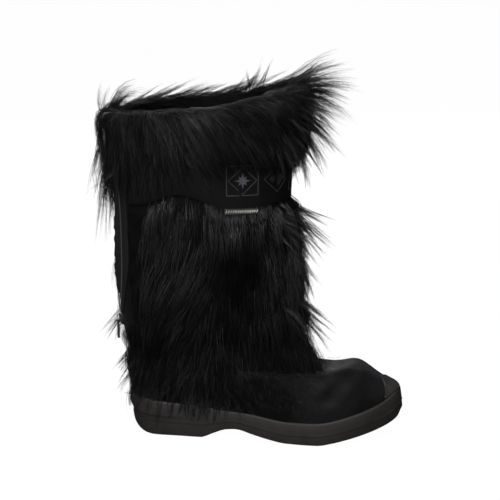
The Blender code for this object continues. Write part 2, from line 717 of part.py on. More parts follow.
def make_shaft_pelt(collection, random):
    """The long-haired hide round the shaft, from the ankle to the band, with a ragged hem."""
    sections = []
    rings = [level for level in shaft_levels() if PELT_HEM < level < BAND_LOW - TAB_DROP - 0.004]
    for k, angle in enumerate(trim_angles(math.radians(27))):
        top = level_at(angle, band_edge(angle) - GAP * 2)
        hem = PELT_HEM + 0.005 * (k % 2) + 0.012 * smoothstep(0.4, 1.0, math.cos(angle))
        low = level_at(angle, hem)
        thick = GAP + pelt_thickness(angle)
        heights = [low + (top - low) * j / 3 for j in range(4)]
        tuft = 0.0012 * (-1) ** k
        bulge = [-0.0030, tuft, -tuft, -0.0030]
        outside = [on_wall(angle, h, thick + b) for h, b in zip(heights, bulge)]
        climb = [max(level, low + 0.001 * (j + 1)) for j, level in enumerate(rings)]
        inside = [on_wall(angle, h, GAP * 1.5) for h in [low, *climb, top]]
        sections.append(outside + inside[::-1])
    pelt = mesh_object("shaft_pelt", loft(sections), "long_hair", collection)
    locks = []
    for row in SHAFT_LOCKS:
        locks += row_of_locks(row, pelt_thickness, random)
    fuse_locks(pelt, locks, collection)
    return pelt


def cuff_section(angle, fold):
    """The cuff's section at an angle: outside, over the collar and a little way down inside."""
    drop = COLLAR - CUFF_DROP
    inside_drop = COLLAR - CUFF_INSIDE_DROP
    outside = GAP * 3 + BAND_THICKNESS
    thick = cuff_thickness(angle)
    crown = CROWN + CROWN_FRONT * smoothstep(0.2, 0.95, math.cos(angle))
    lift = Vector((0, 0, GAP))
    path = [
        on_wall(angle, drop, outside),
        on_wall(angle, drop, outside + thick * 0.7),
        on_wall(angle, drop + 0.018, outside + thick + fold),
        on_wall(angle, COLLAR - 0.016, outside + thick),
        on_wall(angle, COLLAR, outside + thick * 0.62) + Vector((0, 0, crown * 0.55)),
        on_wall(angle, COLLAR, -WALL * 0.5) + Vector((0, 0, crown)),
        on_wall(angle, COLLAR, -WALL - GAP * 2 - CROWN * 0.6) + Vector((0, 0, crown * 0.3)),
        on_wall(angle, inside_drop, -WALL - GAP * 2 - CROWN * 0.45),
        on_wall(angle, inside_drop, -WALL - GAP * 2),
        on_wall(angle, COLLAR, -WALL - GAP * 2) + lift,
        on_wall(angle, COLLAR, outside) + lift,
    ]
    return path


def make_cuff(collection, random):
    """The turned-down collar of long hair, slit at the zip."""
    angles = trim_angles(ZIP_TOP_SPREAD + math.radians(3.4))
    sections = [cuff_section(angle, 0.0010 * (-1) ** k) for k, angle in enumerate(angles)]
    cuff = mesh_object("cuff", loft(sections), "long_hair", collection)
    locks = []
    for row in CUFF_LOCKS:
        locks += row_of_locks(row, cuff_thickness, random)
    fuse_locks(cuff, locks, collection)
    return cuff


# The zip


def make_gusset(collection):
    """The soft cloth behind the open zip, swelling out between its two rows."""
    top = COLLAR - CUFF_INSIDE_DROP - 0.004
    levels = [ZIP_BOTTOM - 0.008] + [level for level in zip_levels() if level < top]
    sections = []
    for k in range(11):
        share = k / 5 - 1
        face, back = [], []
        for level in levels:
            spread = zip_spread(level)
            angle = ZIP_ANGLE + share * (spread + GUSSET_MARGIN)
            inside = -WALL - GAP * 2.4 - GUSSET_THICKNESS
            edge = max(spread - math.radians(3.2), 0.0) / (spread + GUSSET_MARGIN)
            swell = 1 - smoothstep(0.0, 1.0, abs(share) / edge) if edge > 0.28 else 0.0
            swell *= smoothstep(math.radians(4.5), math.radians(9), spread)
            proud = (WALL + GAP + GUSSET_BULGE) * swell
            back.append(on_wall(angle, level, inside + proud))
            face.append(on_wall(angle, level, inside + proud + GUSSET_THICKNESS))
        sections.append(face + back[::-1])
    return mesh_object("zip_gusset", loft(sections), "gusset_cloth", collection)


def make_zip_row(name, side, collection):
    """One side of the zip: its tape on the shaft, with the row of teeth as a bead at the slit's edge."""
    sections = []
    low, top = ZIP_BOTTOM + ROW_START, COLLAR - CUFF_DROP - 0.002
    for level in [low] + [level for level in zip_levels()[1:] if level < top - 0.004] + [top]:
        edge = ZIP_ANGLE + side * zip_spread(level)
        turn = 0.02 / (on_wall(edge + side * 0.02, level) - on_wall(edge, level)).length
        width = TAPE_LOW_WIDTH + (TAPE_HIGH_WIDTH - TAPE_LOW_WIDTH) * smoothstep(ZIP_BOTTOM, 0.20, level)
        near, tape, bead = GAP * 2, GAP * 2 + TAPE_THICKNESS, GAP * 2 + BEAD
        corners = [(0.0006, near), (width, near), (width, tape)]
        corners += [(BEAD + 0.0006, tape), (BEAD, bead), (0.0008, bead)]
        sections.append([on_wall(edge + side * turn * away, level, out) for away, out in corners])
    return mesh_object(name, loft(sections), "zip_tape", collection)


def make_piping(name, side, collection):
    """The light bead that edges the cuff's slit, over its fold."""
    angle = ZIP_ANGLE + side * (ZIP_TOP_SPREAD + math.radians(1.8))
    outside = GAP * 2 + BAND_THICKNESS + CUFF_BACK * 0.5
    route = [on_wall(angle, COLLAR - CUFF_DROP * share, outside) for share in (1.0, 0.7, 0.4, 0.12)]
    route.append(on_wall(angle, COLLAR, outside * 0.6) + Vector((0, 0, 0.0032)))
    route.append(on_wall(angle, COLLAR, -WALL) + Vector((0, 0, 0.0036)))
    curve = bpy.data.curves.new(name, "CURVE")
    curve.dimensions = "3D"
    curve.bevel_depth = PIPING_RADIUS
    curve.bevel_resolution = 1
    curve.use_fill_caps = True
    spline = curve.splines.new("POLY")
    spline.points.add(len(route) - 1)
    for point, place in zip(spline.points, route):
        point.co = (*place, 1)
    made = bpy.data.objects.new(name, curve)
    curve.materials.append(material("piping"))
    collection.objects.link(made)
    return made


def zip_frame(upright):
    """Across the zip, up and outward at the slider, either upright or leaning as the wall does there."""
    level = ZIP_BOTTOM - SLIDER_DROP
    outward = ring_normal(ZIP_ANGLE, level)
    across = Vector((-outward.y, outward.x, 0))
    lean = (ring_point(ZIP_ANGLE, level + 0.008) - ring_point(ZIP_ANGLE, level - 0.008)).dot(outward)
    tilt = 0 if upright else math.atan2(lean, 0.016)
    up = Vector((0, 0, 1))
    frame = Matrix((across, up, outward)).transposed().to_4x4()
    place = Matrix.Translation(ring_point(ZIP_ANGLE, level))
    return place @ Matrix.Rotation(tilt, 4, across) @ frame


def pull_pin():
    """The place of the pull's pin, which the slider and the pull share."""
    return zip_frame(False) @ Vector((0, PULL_PIN_DOWN, PULL_PIN_OUT))


def cylinder(name, radius, length, sides, place, collection):
    """A closed cylinder that lies across the zip."""
    made = bmesh.new()
    turn = place @ Matrix.Rotation(math.radians(90), 4, "Y")
    sizes = {"radius1": radius, "radius2": radius, "depth": length}
    bmesh.ops.create_cone(made, cap_ends=True, segments=sides, matrix=turn, **sizes)
    mesh = bpy.data.meshes.new(name)
    made.to_mesh(mesh)
    made.free()
    return mesh_object(name, mesh, None, collection)


def make_slider(collection):
    """The slider's plate with its two ears and their pin, at the bottom of the open zip."""
    half_plate = [(0.0035, -0.0055), (0.0048, 0.0000), (0.0048, 0.0050), (0.0018, 0.0062)]
    plate = half_plate + [(-x, y) for x, y in half_plate[::-1]]
    low, high = GAP, PLATE_TOP
    sections = [[(x, y, low) for x, y in plate], [(x, y, high - 0.0006) for x, y in plate]]
    sections.append([(x * 0.88, y * 0.9, high) for x, y in plate])
    slider = mesh_object("zip_slider", loft(sections), "zip_metal", collection)
    side_view = ((-0.0020, 0.0022), (-0.0020, 0.0067), (0.0010, 0.0067), (0.0010, 0.0022))
    for near in (-EAR_OUT, EAR_OUT - EAR_THICKNESS):
        ear = loft([[(x, y, z) for y, z in side_view] for x in (near, near + EAR_THICKNESS)])
        apply_boolean(slider, mesh_object("ear", ear, None, collection), "UNION")
    place = Matrix.Translation((0, PULL_PIN_DOWN, PULL_PIN_OUT))
    pin_length = 2 * (EAR_OUT - EAR_THICKNESS / 4)
    apply_boolean(slider, cylinder("pin", PULL_PIN, pin_length, 10, place, collection), "UNION")
    slider.data.transform(zip_frame(False))
    return slider


def make_pull(collection):
    """The pull tab: an eye round the slider's pin and a flat tongue that hangs down from it."""
    pull = cylinder("zip_pull", EYE_RADIUS, EYE_WIDTH, 16, Matrix(), collection)
    pull.data.materials.append(material("zip_metal"))
    half, neck = PULL_WIDTH / 2, PULL_NECK / 2
    half_shape = [(neck, -0.0010), (neck, -0.0060), (half, -0.0090), (half, 0.002 - PULL_LENGTH)]
    half_shape.append((half * 0.55, -PULL_LENGTH))
    shape = half_shape + [(-x, y) for x, y in half_shape[::-1]]
    thick = PULL_THICKNESS / 2
    tongue = loft([[(x, y, z) for x, y in shape] for z in (-thick, thick)])
    apply_boolean(pull, mesh_object("tongue", tongue, None, collection), "UNION")
    bore = cylinder("bore", PULL_PIN + GAP * 1.6, PULL_LENGTH, 16, Matrix(), collection)
    apply_boolean(pull, bore, "DIFFERENCE")
    frame = zip_frame(True)
    frame.translation = pull_pin()
    pull.matrix_world = frame
    return pull


def main():
    for old in list(bpy.data.objects):
        bpy.data.objects.remove(old)
    collection = bpy.data.collections.new("fur_boot")
    bpy.context.scene.collection.children.link(collection)
    random = np.random.default_rng(7)
    make_outsole(collection)
    make_upper(collection)
    make_insole(collection)
    make_toe_bumper(collection)
    make_band(collection)
    make_trim_bar(collection)
    make_shaft_pelt(collection, random)
    make_cuff(collection, random)
    make_gusset(collection)
    make_zip_row("zip_row_front", 1, collection)
    make_zip_row("zip_row_back", -1, collection)
    make_piping("cuff_piping_front", 1, collection)
    make_piping("cuff_piping_back", -1, collection)
    make_slider(collection)
    make_pull(collection)


main()
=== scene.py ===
import math

import bmesh
import bpy
import numpy as np
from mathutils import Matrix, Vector
from mathutils.bvhtree import BVHTree


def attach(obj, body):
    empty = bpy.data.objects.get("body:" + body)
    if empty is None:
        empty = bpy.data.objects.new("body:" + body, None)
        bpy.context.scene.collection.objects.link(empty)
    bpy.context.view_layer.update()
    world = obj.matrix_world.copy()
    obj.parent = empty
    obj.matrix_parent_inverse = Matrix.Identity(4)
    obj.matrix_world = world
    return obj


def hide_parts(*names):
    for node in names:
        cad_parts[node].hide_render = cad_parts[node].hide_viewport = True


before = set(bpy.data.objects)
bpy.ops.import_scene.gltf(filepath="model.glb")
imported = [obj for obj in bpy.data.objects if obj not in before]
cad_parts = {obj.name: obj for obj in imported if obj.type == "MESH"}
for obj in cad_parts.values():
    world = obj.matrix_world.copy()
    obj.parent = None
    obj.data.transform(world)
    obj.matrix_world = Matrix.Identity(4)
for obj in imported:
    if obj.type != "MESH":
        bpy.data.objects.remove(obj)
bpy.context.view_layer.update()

# Metres, +X to the toe, +Y to the inner side of this right boot, origin on the floor under the heel.
# x in the tables is measured from the back of the heel. Angles round the boot start at the toe and grow
# to the inner side, so the outer side, which faces the camera, runs from 180 to 360 degrees.
heelBack = -0.052
gap = 0.0003
body = "boot"


def smoothLine(xs, ys):
    # a smooth curve through the points that never overshoots between them
    xs, ys = np.array(xs, float), np.array(ys, float)
    step = np.diff(xs)
    slope = np.diff(ys) / step
    bend = np.zeros(len(xs))
    for i in range(1, len(xs) - 1):
        if slope[i - 1] * slope[i] > 0:
            near, far = 2 * step[i] + step[i - 1], step[i] + 2 * step[i - 1]
            bend[i] = (near + far) / (near / slope[i - 1] + far / slope[i])

    def at(x):
        x = np.clip(x, xs[0], xs[-1])
        i = np.clip(np.searchsorted(xs, x, side="right") - 1, 0, len(step) - 1)
        t = (x - xs[i]) / step[i]
        start = (2 * t**3 - 3 * t**2 + 1) * ys[i] + (t**3 - 2 * t**2 + t) * step[i] * bend[i]
        return start + (3 * t**2 - 2 * t**3) * ys[i + 1] + (t**3 - t**2) * step[i] * bend[i + 1]

    return at


def columns(rows):
    # smooth curves of every column of a table over its first one
    first, *others = zip(*rows)
    return [smoothLine(first, other) for other in others]


def softStep(low, high, value):
    t = np.clip((value - low) / (high - low), 0, 1)
    return t * t * (3 - 2 * t)


def unit(vectors):
    return vectors / np.maximum(np.linalg.norm(vectors, axis=-1, keepdims=True), 1e-9)


def travelled(points):
    # the length along a line up to each of its points
    return np.concatenate([[0], np.cumsum(np.linalg.norm(np.diff(points, axis=0), axis=1))])


# The sole's own sizes
sole = {
    "length": 0.285, "heelRounding": 0.042, "toeRounding": 0.082, "roundingPower": 2.25,
    "steps": 84, "treadShare": 0.38, "treadInset": 0.0005, "chamfer": 0.0018,
    "rimShare": 0.42, "rimProud": 0.0024, "cupDepth": 0.003, "ledgeSide": 0.0032, "ledgeToe": 0.0058,
    "toeLean": 0.0032, "grooveMargin": 0.0055,
    "grooveWidth": 0.0026, "grooveDepth": 0.0035, "groovePitch": 0.0145, "grooveWave": 0.0035,
    "grooveSteps": 13, "heelGrooves": (0.0315, 4), "forefootGrooves": (0.1665, 7),
}
soleBreadths = (  # x, centre, half
    (0.000, 0.0000, 0.0380), (0.040, 0.0000, 0.0385), (0.085, -0.0020, 0.0385), (0.125, -0.0040, 0.0395),
    (0.165, -0.0025, 0.0455), (0.200, 0.0000, 0.0512), (0.235, 0.0035, 0.0515), (0.285, 0.0080, 0.0480),
)
soleProfile = (  # x, underside, top edge
    (0.000, 0.0180, 0.0395), (0.006, 0.0090, 0.0392), (0.013, 0.0038, 0.0388), (0.020, 0.0010, 0.0383),
    (0.028, 0.0000, 0.0375), (0.079, 0.0000, 0.0330), (0.092, 0.0049, 0.0315), (0.106, 0.0102, 0.0303),
    (0.117, 0.0112, 0.0298), (0.135, 0.0066, 0.0280), (0.154, 0.0023, 0.0250), (0.171, 0.0000, 0.0230),
    (0.204, 0.0000, 0.0236), (0.217, 0.0022, 0.0256), (0.236, 0.0068, 0.0306), (0.255, 0.0120, 0.0362),
    (0.270, 0.0171, 0.0420), (0.278, 0.0208, 0.0472), (0.2825, 0.0240, 0.0506), (0.285, 0.0290, 0.0514),
)
soleCentre, soleHalf = columns(soleBreadths)
soleUnder, soleTop = columns(soleProfile)

# The upper's own sizes
upper = {
    "ankle": 0.078, "collar": 0.338, "wall": 0.0034, "squareness": 2.15, "sideSwell": 0.0035,
    "toeSlope": 0.011, "toeFull": (0.238, 0.0190, 0.0105), "firstStep": 0.125, "around": 144,
    "footRows": 26, "shaftRows": 40,
}
shaftRings = (  # level, back, front, half breadth, how much higher the front is
    (0.078, -0.0025, 0.2020, 0.0470, -0.0125), (0.092, -0.0055, 0.1910, 0.0490, -0.0030),
    (0.110, -0.0090, 0.1800, 0.0525, 0.0000), (0.130, -0.0120, 0.1740, 0.0560, 0.0005),
    (0.186, -0.0145, 0.1700, 0.0615, 0.0020), (0.240, -0.0140, 0.1655, 0.0640, 0.0040),
    (0.290, -0.0180, 0.1670, 0.0660, 0.0060), (0.338, -0.0220, 0.1700, 0.0670, 0.0080),
)
ringBack, ringFront, ringHalf, ringTilt = columns(shaftRings)


def endRounding(x):
    heel = np.maximum(0, 1 - x / sole["heelRounding"])
    toe = np.maximum(0, 1 - (sole["length"] - x) / sole["toeRounding"])
    power = sole["roundingPower"]
    return np.maximum(0, 1 - np.maximum(heel, toe) ** power) ** (1 / power)


def outline(steps):
    # the sole from above: outer side from heel to toe, inner side back, with normals
    xs = sole["length"] * (1 - np.cos(np.pi * np.arange(steps + 1) / steps)) / 2
    half = soleHalf(xs) * endRounding(xs)
    outer = np.column_stack([xs, soleCentre(xs) - half])
    inner = np.column_stack([xs, soleCentre(xs) + half])[-2:0:-1]
    points = np.vstack([outer, inner])
    along = np.roll(points, -1, axis=0) - np.roll(points, 1, axis=0)
    return points, unit(np.column_stack([along[:, 1], -along[:, 0]]))


def ledge(x):
    return sole["ledgeSide"] + (sole["ledgeToe"] - sole["ledgeSide"]) * softStep(0.20, 0.28, x)


def ringNormal(angle, level):
    reach, half = (ringFront(level) - ringBack(level)) / 2, ringHalf(level)
    power = 2 - 2 / upper["squareness"]
    c, s = np.cos(angle), np.sin(angle)
    x, y = np.sign(c) * np.abs(c) ** power / reach, np.sign(s) * np.abs(s) ** power / half
    return unit(np.stack([x, y, np.zeros_like(x)], -1))


def ringPoint(angle, level, out=0.0):
    # a point of the shaft's outer face, moved out from it
    angle, level, out = np.broadcast_arrays(*(np.asarray(v, float) for v in (angle, level, out)))
    front, back = ringFront(level), ringBack(level)
    power = 2 / upper["squareness"]
    c, s = np.cos(angle), np.sin(angle)
    x = heelBack + (front + back) / 2 + (front - back) / 2 * np.sign(c) * np.abs(c) ** power
    y = ringHalf(level) * np.sign(s) * np.abs(s) ** power
    point = np.stack([x, y, level + ringTilt(level) * c], -1)
    return point + ringNormal(angle, level) * out[..., None]


def featherLine(angles):
    # where each meridian of the foot starts on the sole
    points, normals = outline(160)
    inset = np.column_stack([points - normals * ledge(points[:, :1]), soleTop(points[:, 0])])
    half = len(points) // 2
    sides = (np.vstack([inset[half:], inset[:1]]), inset[half::-1])
    fine = np.linspace(0, np.pi, 241)
    ankle = ringPoint(fine, upper["ankle"])[:, :2]
    travel = travelled(ankle)
    turned = np.asarray(angles) % (2 * np.pi)
    outer = turned > np.pi
    share = np.interp(np.where(outer, 2 * np.pi - turned, turned), fine, travel / travel[-1])
    starts = np.zeros(turned.shape + (3,))
    for isOuter, side in enumerate(sides):
        lengths = travelled(side[:, :2])
        chosen = outer == bool(isOuter)
        for k in range(3):
            starts[chosen, k] = np.interp(share[chosen] * lengths[-1], lengths, side[:, k])
    return starts + (heelBack, 0, 2 * gap - sole["cupDepth"])


def footPoint(angle, t):
    # a point of the foot: t runs from the sole up to the ankle
    angle, t = np.broadcast_arrays(np.asarray(angle, float), np.asarray(t, float))
    start, end = featherLine(angle), ringPoint(angle, upper["ankle"])
    ahead = ((1 + np.cos(angle)) / 2)[..., None]
    normal = ringNormal(angle, upper["ankle"] + 0 * angle)
    outward = (start - end) * (1, 1, 0)
    reach = np.linalg.norm(outward, axis=-1, keepdims=True)
    outward = np.where(reach > 1e-6, outward / np.maximum(reach, 1e-6), normal)
    base = start + (0, 0, sole["cupDepth"])
    rise = (end - base)[..., 2:] * (0, 0, 1)
    first = base + rise * (0.36 + 0.44 * ahead**2) + normal * upper["sideSwell"] * (1 - ahead**3)
    first = first - outward * upper["toeSlope"] * ahead**4
    second = end + outward * reach * 0.44 * ahead + rise * (0.80 * ahead**2 - 0.36)
    low = upper["firstStep"]
    u = np.clip((t - low) / (1 - low), 0, 1)[..., None]
    curve = base * (1 - u) ** 3 + first * 3 * (1 - u) ** 2 * u + second * 3 * (1 - u) * u * u + end * u**3
    middle, width, height = upper["toeFull"]
    full = height * np.exp(-(((curve[..., 0] - heelBack - middle) / width) ** 2))
    curve[..., 2] += full * softStep(0.045, 0.072, curve[..., 2])
    early = np.clip(t / low, 0, 1)[..., None]
    return np.where(t[..., None] < low, start + (base - start) * early, curve)


def gridNormals(grid):
    # the normals of a grid that closes round the boot
    around = np.roll(grid, -1, axis=0) - np.roll(grid, 1, axis=0)
    return unit(np.cross(around, np.gradient(grid, axis=1)))


def levelAt(angle, height):
    # the ring's level whose point at the angle lies at the height
    level = np.array(height, float)
    for _ in range(4):
        level = height - ringTilt(level) * np.cos(angle)
    return level


# Meshes


def newPiece(name, verts, faces, materials, smooth=40):
    mesh = bpy.data.meshes.new(name)
    mesh.from_pydata(np.asarray(verts, float).reshape(-1, 3).tolist(), [], faces)
    for each in materials:
        mesh.materials.append(each)
    if smooth:
        mesh.shade_smooth()
        mesh.set_sharp_from_angle(angle=math.radians(smooth))
    piece = bpy.data.objects.new(name, mesh)
    bpy.context.scene.collection.objects.link(piece)
    return piece


def faceOutward(piece):
    made = bmesh.new()
    made.from_mesh(piece.data)
    bmesh.ops.remove_doubles(made, verts=made.verts, dist=1e-6)
    bmesh.ops.recalc_face_normals(made, faces=made.faces)
    made.to_mesh(piece.data)
    made.free()
    return piece


def ringFaces(here, after):
    # four-cornered faces between closed rows of corners
    return np.stack([here, np.roll(here, -1, 1), np.roll(after, -1, 1), after], -1).reshape(-1, 4).tolist()


def loftPiece(name, sections, materials, wrap=False, smooth=40, paint=None):
    # sections is an array: which section, which corner, xyz. paint is a material index for each corner
    count, size = sections.shape[:2]
    index = np.arange(count * size).reshape(count, size)
    here = index if wrap else index[:-1]
    after = np.roll(index, -1, axis=0) if wrap else index[1:]
    faces = ringFaces(here, after)
    if not wrap:
        faces += [index[0][::-1].tolist(), index[-1].tolist()]
    made = newPiece(name, sections, faces, materials, smooth)
    if paint is not None:
        indices = np.zeros(len(faces), np.int32)
        indices[:len(here) * size] = np.tile(paint, len(here))
        made.data.polygons.foreach_set("material_index", indices)
    return faceOutward(made)


def bakeModifiers(piece):
    bpy.context.view_layer.update()
    evaluated = piece.evaluated_get(bpy.context.evaluated_depsgraph_get())
    mesh = bpy.data.meshes.new_from_object(evaluated)
    piece.modifiers.clear()
    piece.data = mesh
    mesh.name = piece.name
    return piece


def cutAway(piece, cutter):
    modifier = piece.modifiers.new("cut", "BOOLEAN")
    modifier.object, modifier.operation, modifier.solver = cutter, "DIFFERENCE", "EXACT"
    bakeModifiers(piece)
    bpy.data.objects.remove(cutter)


def finishPiece(piece, node=None):
    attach(piece, body)
    if node:
        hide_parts(node)
    return piece


def addNode(tree, kind, inputs=None, **settings):
    made = tree.nodes.new(kind)
    for key, value in settings.items():
        setattr(made, key, value)
    for key, value in (inputs or {}).items():
        if isinstance(value, bpy.types.NodeSocket):
            tree.links.new(value, made.inputs[key])
        else:
            made.inputs[key].default_value = value
    return made


# Materials


class Finish:
    # a Principled material with a few helpers to wire its nodes

    def __init__(self, name, **sockets):
        self.material = bpy.data.materials.new(name)
        self.material.use_nodes = True
        self.tree = self.material.node_tree
        self.shader = self.tree.nodes["Principled BSDF"]
        for socket, value in sockets.items():
            self.shader.inputs[socket.replace("_", " ")].default_value = value

    def node(self, kind, inputs=None, **settings):
        return addNode(self.tree, "ShaderNode" + kind, inputs, **settings)

    def distance(self, axis):
        # how far along the part's X, Y or Z
        where = self.node("TexCoord").outputs["Object"]
        return self.node("SeparateXYZ", {0: where}).outputs[axis]

    def place(self, scale=(1, 1, 1), turn=(0, 0, 0)):
        where = self.node("TexCoord").outputs["Object"]
        mapping = self.node("Mapping", {"Vector": where, "Scale": scale, "Rotation": turn})
        return mapping.outputs["Vector"]

    def noise(self, scale, where=None, detail=3.0):
        where = where or self.place()
        made = self.node("TexNoise", {"Vector": where, "Scale": scale, "Detail": detail, "Roughness": 0.55})
        return made.outputs["Fac"]

    def ramp(self, factor, stops):
        made = self.node("ValToRGB", {"Fac": factor})
        line = made.color_ramp.elements
        for k, (place, colour) in enumerate(stops):
            stop = line[k] if k < 2 else line.new(place)
            stop.position = place
            stop.color = (*colour, 1) if isinstance(colour, tuple) else (colour, colour, colour, 1)
        return made.outputs["Color"]

    def between(self, factor, low, high, fromLow=0.0, fromHigh=1.0):
        made = self.node("MapRange", {"Value": factor, "From Min": fromLow, "From Max": fromHigh,
                                      "To Min": low, "To Max": high})
        return made.outputs["Result"]

    def maths(self, operation, a, b=0.0):
        return self.node("Math", {0: a, 1: b}, operation=operation).outputs[0]

    def bump(self, heights, distance, strength=1.0):
        made = self.node("Bump", {"Height": heights, "Distance": distance, "Strength": strength})
        return made.outputs["Normal"]

    def wire(self, **sockets):
        for socket, value in sockets.items():
            self.tree.links.new(value, self.shader.inputs[socket.replace("_", " ")])
        return self.material


def hairFinish(name, dark, light):
    # every hair stores a tone, which is a random tone times painted light and shade: high tones make lighter,
    # glossier hairs as painted glints and highlights, low tones darker, duller ones as painted shade
    made = Finish(name)
    toneAndPaintedShine = made.node("Attribute", attribute_name="toneAndPaintedShine").outputs["Fac"]
    patch = made.noise(420, made.place((1, 1, 0.25)), 2.0)
    rough = made.maths("ADD", made.between(toneAndPaintedShine, 0.54, 0.20), made.between(patch, -0.05, 0.12, 0.3, 0.7))
    paintedGlint = tuple(3.6 * c for c in light)
    return made.wire(Base_Color=made.ramp(toneAndPaintedShine, ((0.0, dark), (0.5, light), (1.0, paintedGlint))),
                     Roughness=rough, Specular_IOR_Level=made.between(toneAndPaintedShine, 0.12, 1.0, 0.0, 0.9))


def coatFinish(name):
    # the dense short hair under the long one, in fine upright strands
    made = Finish(name, Roughness=0.7, Specular_IOR_Level=0.12)
    strands = made.noise(1.0, made.place((900, 900, 110)), 4.0)
    colour = made.ramp(strands, ((0.3, (0.0012, 0.0012, 0.0013)), (0.8, (0.006, 0.006, 0.0065))))
    return made.wire(Base_Color=colour, Roughness=made.between(strands, 0.6, 0.9),
                     Normal=made.bump(strands, 0.0012))


def napFinish():
    # short nap of the foot: painted sheen in soft patches, and painted shade that darkens it below the ankle
    made = Finish("shortNap", Sheen_Weight=0.07, Sheen_Roughness=0.45, Specular_IOR_Level=0.16)
    made.shader.inputs["Sheen Tint"].default_value = (0.62, 0.64, 0.70, 1)
    sheenPatches = made.noise(26, made.place((1, 1, 1.6), (0, 0.5, 0)), 2.5)
    fibres = made.noise(1.0, made.place((420, 1500, 1500), (0, 0.35, 0)), 3.0)
    toToe = made.maths("SUBTRACT", made.distance("X"), made.maths("MULTIPLY", made.distance("Z"), 0.8))
    mottleAndPaintedLight = made.maths("MULTIPLY", sheenPatches, made.between(toToe, 0.30, 1.0, 0.040, 0.105))
    colour = made.ramp(mottleAndPaintedLight, ((0.34, (0.0022, 0.0022, 0.0025)), (0.70, (0.0118, 0.0118, 0.0134))))
    return made.wire(Base_Color=colour, Roughness=made.between(mottleAndPaintedLight, 0.92, 0.50, 0.12, 0.62),
                     Normal=made.bump(fibres, 0.0006, 0.8))


def rubberFinish():
    made = Finish("mouldedRubber", Roughness=0.55, Specular_IOR_Level=0.45)
    grain = made.noise(2600, detail=2.0)
    cloud = made.noise(60, detail=4.0)
    colour = made.ramp(cloud, ((0.3, (0.030, 0.0255, 0.0245)), (0.75, (0.043, 0.037, 0.035))))
    return made.wire(Base_Color=colour, Roughness=made.between(cloud, 0.50, 0.68),
                     Normal=made.bump(grain, 0.00012, 0.5))


def bumperFinish():
    # rubber with a painted highlight: lighter at the tip of the toe and darker, as painted shade, where it
    # meets the nap, with a faint mottle; also glossier at the tip and duller at the nap
    made = Finish("glossRubber", Roughness=0.3, Coat_Weight=0.1, Coat_Roughness=0.3)
    cloud = made.noise(120, detail=4.0)
    toToe = made.distance("X")
    mottleAndPaintedLight = made.maths("MULTIPLY", made.between(cloud, 0.8, 1.2), made.between(toToe, 0.0, 1.0, 0.209, 0.231))
    colour = made.ramp(mottleAndPaintedLight, ((0.1, (0.012, 0.0112, 0.0108)), (0.9, (0.062, 0.0575, 0.0560))))
    return made.wire(Base_Color=colour, Roughness=made.between(toToe, 0.65, 0.33, 0.209, 0.224),
                     Normal=made.bump(made.noise(900), 0.0002, 0.4))


def clothFinish(name, dark, light, threads, depth, rough, gloss):
    made = Finish(name, Roughness=rough, Specular_IOR_Level=gloss)
    warp = made.node("TexWave", {"Vector": made.place((threads, threads, 0)), "Scale": 1.0},
                     wave_profile="SIN").outputs["Fac"]
    weft = made.node("TexWave", {"Vector": made.place((0, 0, threads)), "Scale": 1.0},
                     bands_direction="Z", wave_profile="SIN").outputs["Fac"]
    weave = made.maths("MULTIPLY", warp, weft)
    cloud = made.noise(70, detail=4.0)
    mixed = made.maths("ADD", made.maths("MULTIPLY", weave, 0.4), made.maths("MULTIPLY", cloud, 0.6))
    return made.wire(Base_Color=made.ramp(mixed, ((0.2, dark), (0.75, light))),
                     Normal=made.bump(weave, depth))


def metalFinish(name, dark, light, low, high):
    made = Finish(name, Metallic=0.85)
    streaks = made.noise(1.0, made.place((300, 300, 2500)), 3.0)
    return made.wire(Base_Color=made.ramp(streaks, ((0.25, dark), (0.8, light))),
                     Roughness=made.between(streaks, low, high), Normal=made.bump(streaks, 0.00005, 0.5))


longHair = hairFinish("longHair", (0.0018, 0.0018, 0.0020), (0.0240, 0.0235, 0.0262))
underHair = coatFinish("underHair")
shortNap = napFinish()
mouldedRubber = rubberFinish()
glossRubber = bumperFinish()
clothTable = (  # name, dark and light colour, threads in a metre, depth of the weave, roughness, gloss
    ("liningCloth", (0.006, 0.006, 0.006), (0.018, 0.017, 0.017), 900, 0.0004, 0.95, 0.5),
    ("feltCloth", (0.018, 0.017, 0.016), (0.035, 0.034, 0.033), 1400, 0.0003, 0.95, 0.5),
    ("ribbonCloth", (0.0022, 0.0022, 0.0025), (0.0060, 0.0060, 0.0068), 5200, 0.0001, 0.66, 0.22),
    ("gussetCloth", (0.006, 0.006, 0.0065), (0.016, 0.016, 0.017), 3600, 0.00012, 0.65, 0.35),
    ("tapeCloth", (0.004, 0.004, 0.004), (0.010, 0.010, 0.010), 4200, 0.00015, 0.8, 0.5),
    ("cordSatin", (0.16, 0.165, 0.14), (0.30, 0.305, 0.27), 5200, 0.0001, 0.45, 0.5),
    ("lineThread", (0.060, 0.060, 0.062), (0.125, 0.125, 0.13), 6000, 0.0001, 0.5, 0.5),
    ("starThread", (0.10, 0.105, 0.12), (0.26, 0.27, 0.31), 6000, 0.0002, 0.4, 0.5),
    ("patchThread", (0.020, 0.022, 0.032), (0.050, 0.054, 0.074), 6000, 0.0002, 0.5, 0.5),
    ("toothNylon", (0.13, 0.135, 0.10), (0.22, 0.225, 0.18), 3000, 0.00005, 0.35, 0.5),
)
cloth = {row[0]: clothFinish(*row) for row in clothTable}
darkMetal = metalFinish("darkMetal", (0.10, 0.10, 0.095), (0.22, 0.22, 0.21), 0.3, 0.5)
barMetal = metalFinish("barMetal", (0.05, 0.05, 0.05), (0.12, 0.12, 0.115), 0.35, 0.55)
ribMetal = metalFinish("ribMetal", (0.55, 0.53, 0.48), (0.80, 0.78, 0.72), 0.25, 0.42)
print("materials made")


# Sole


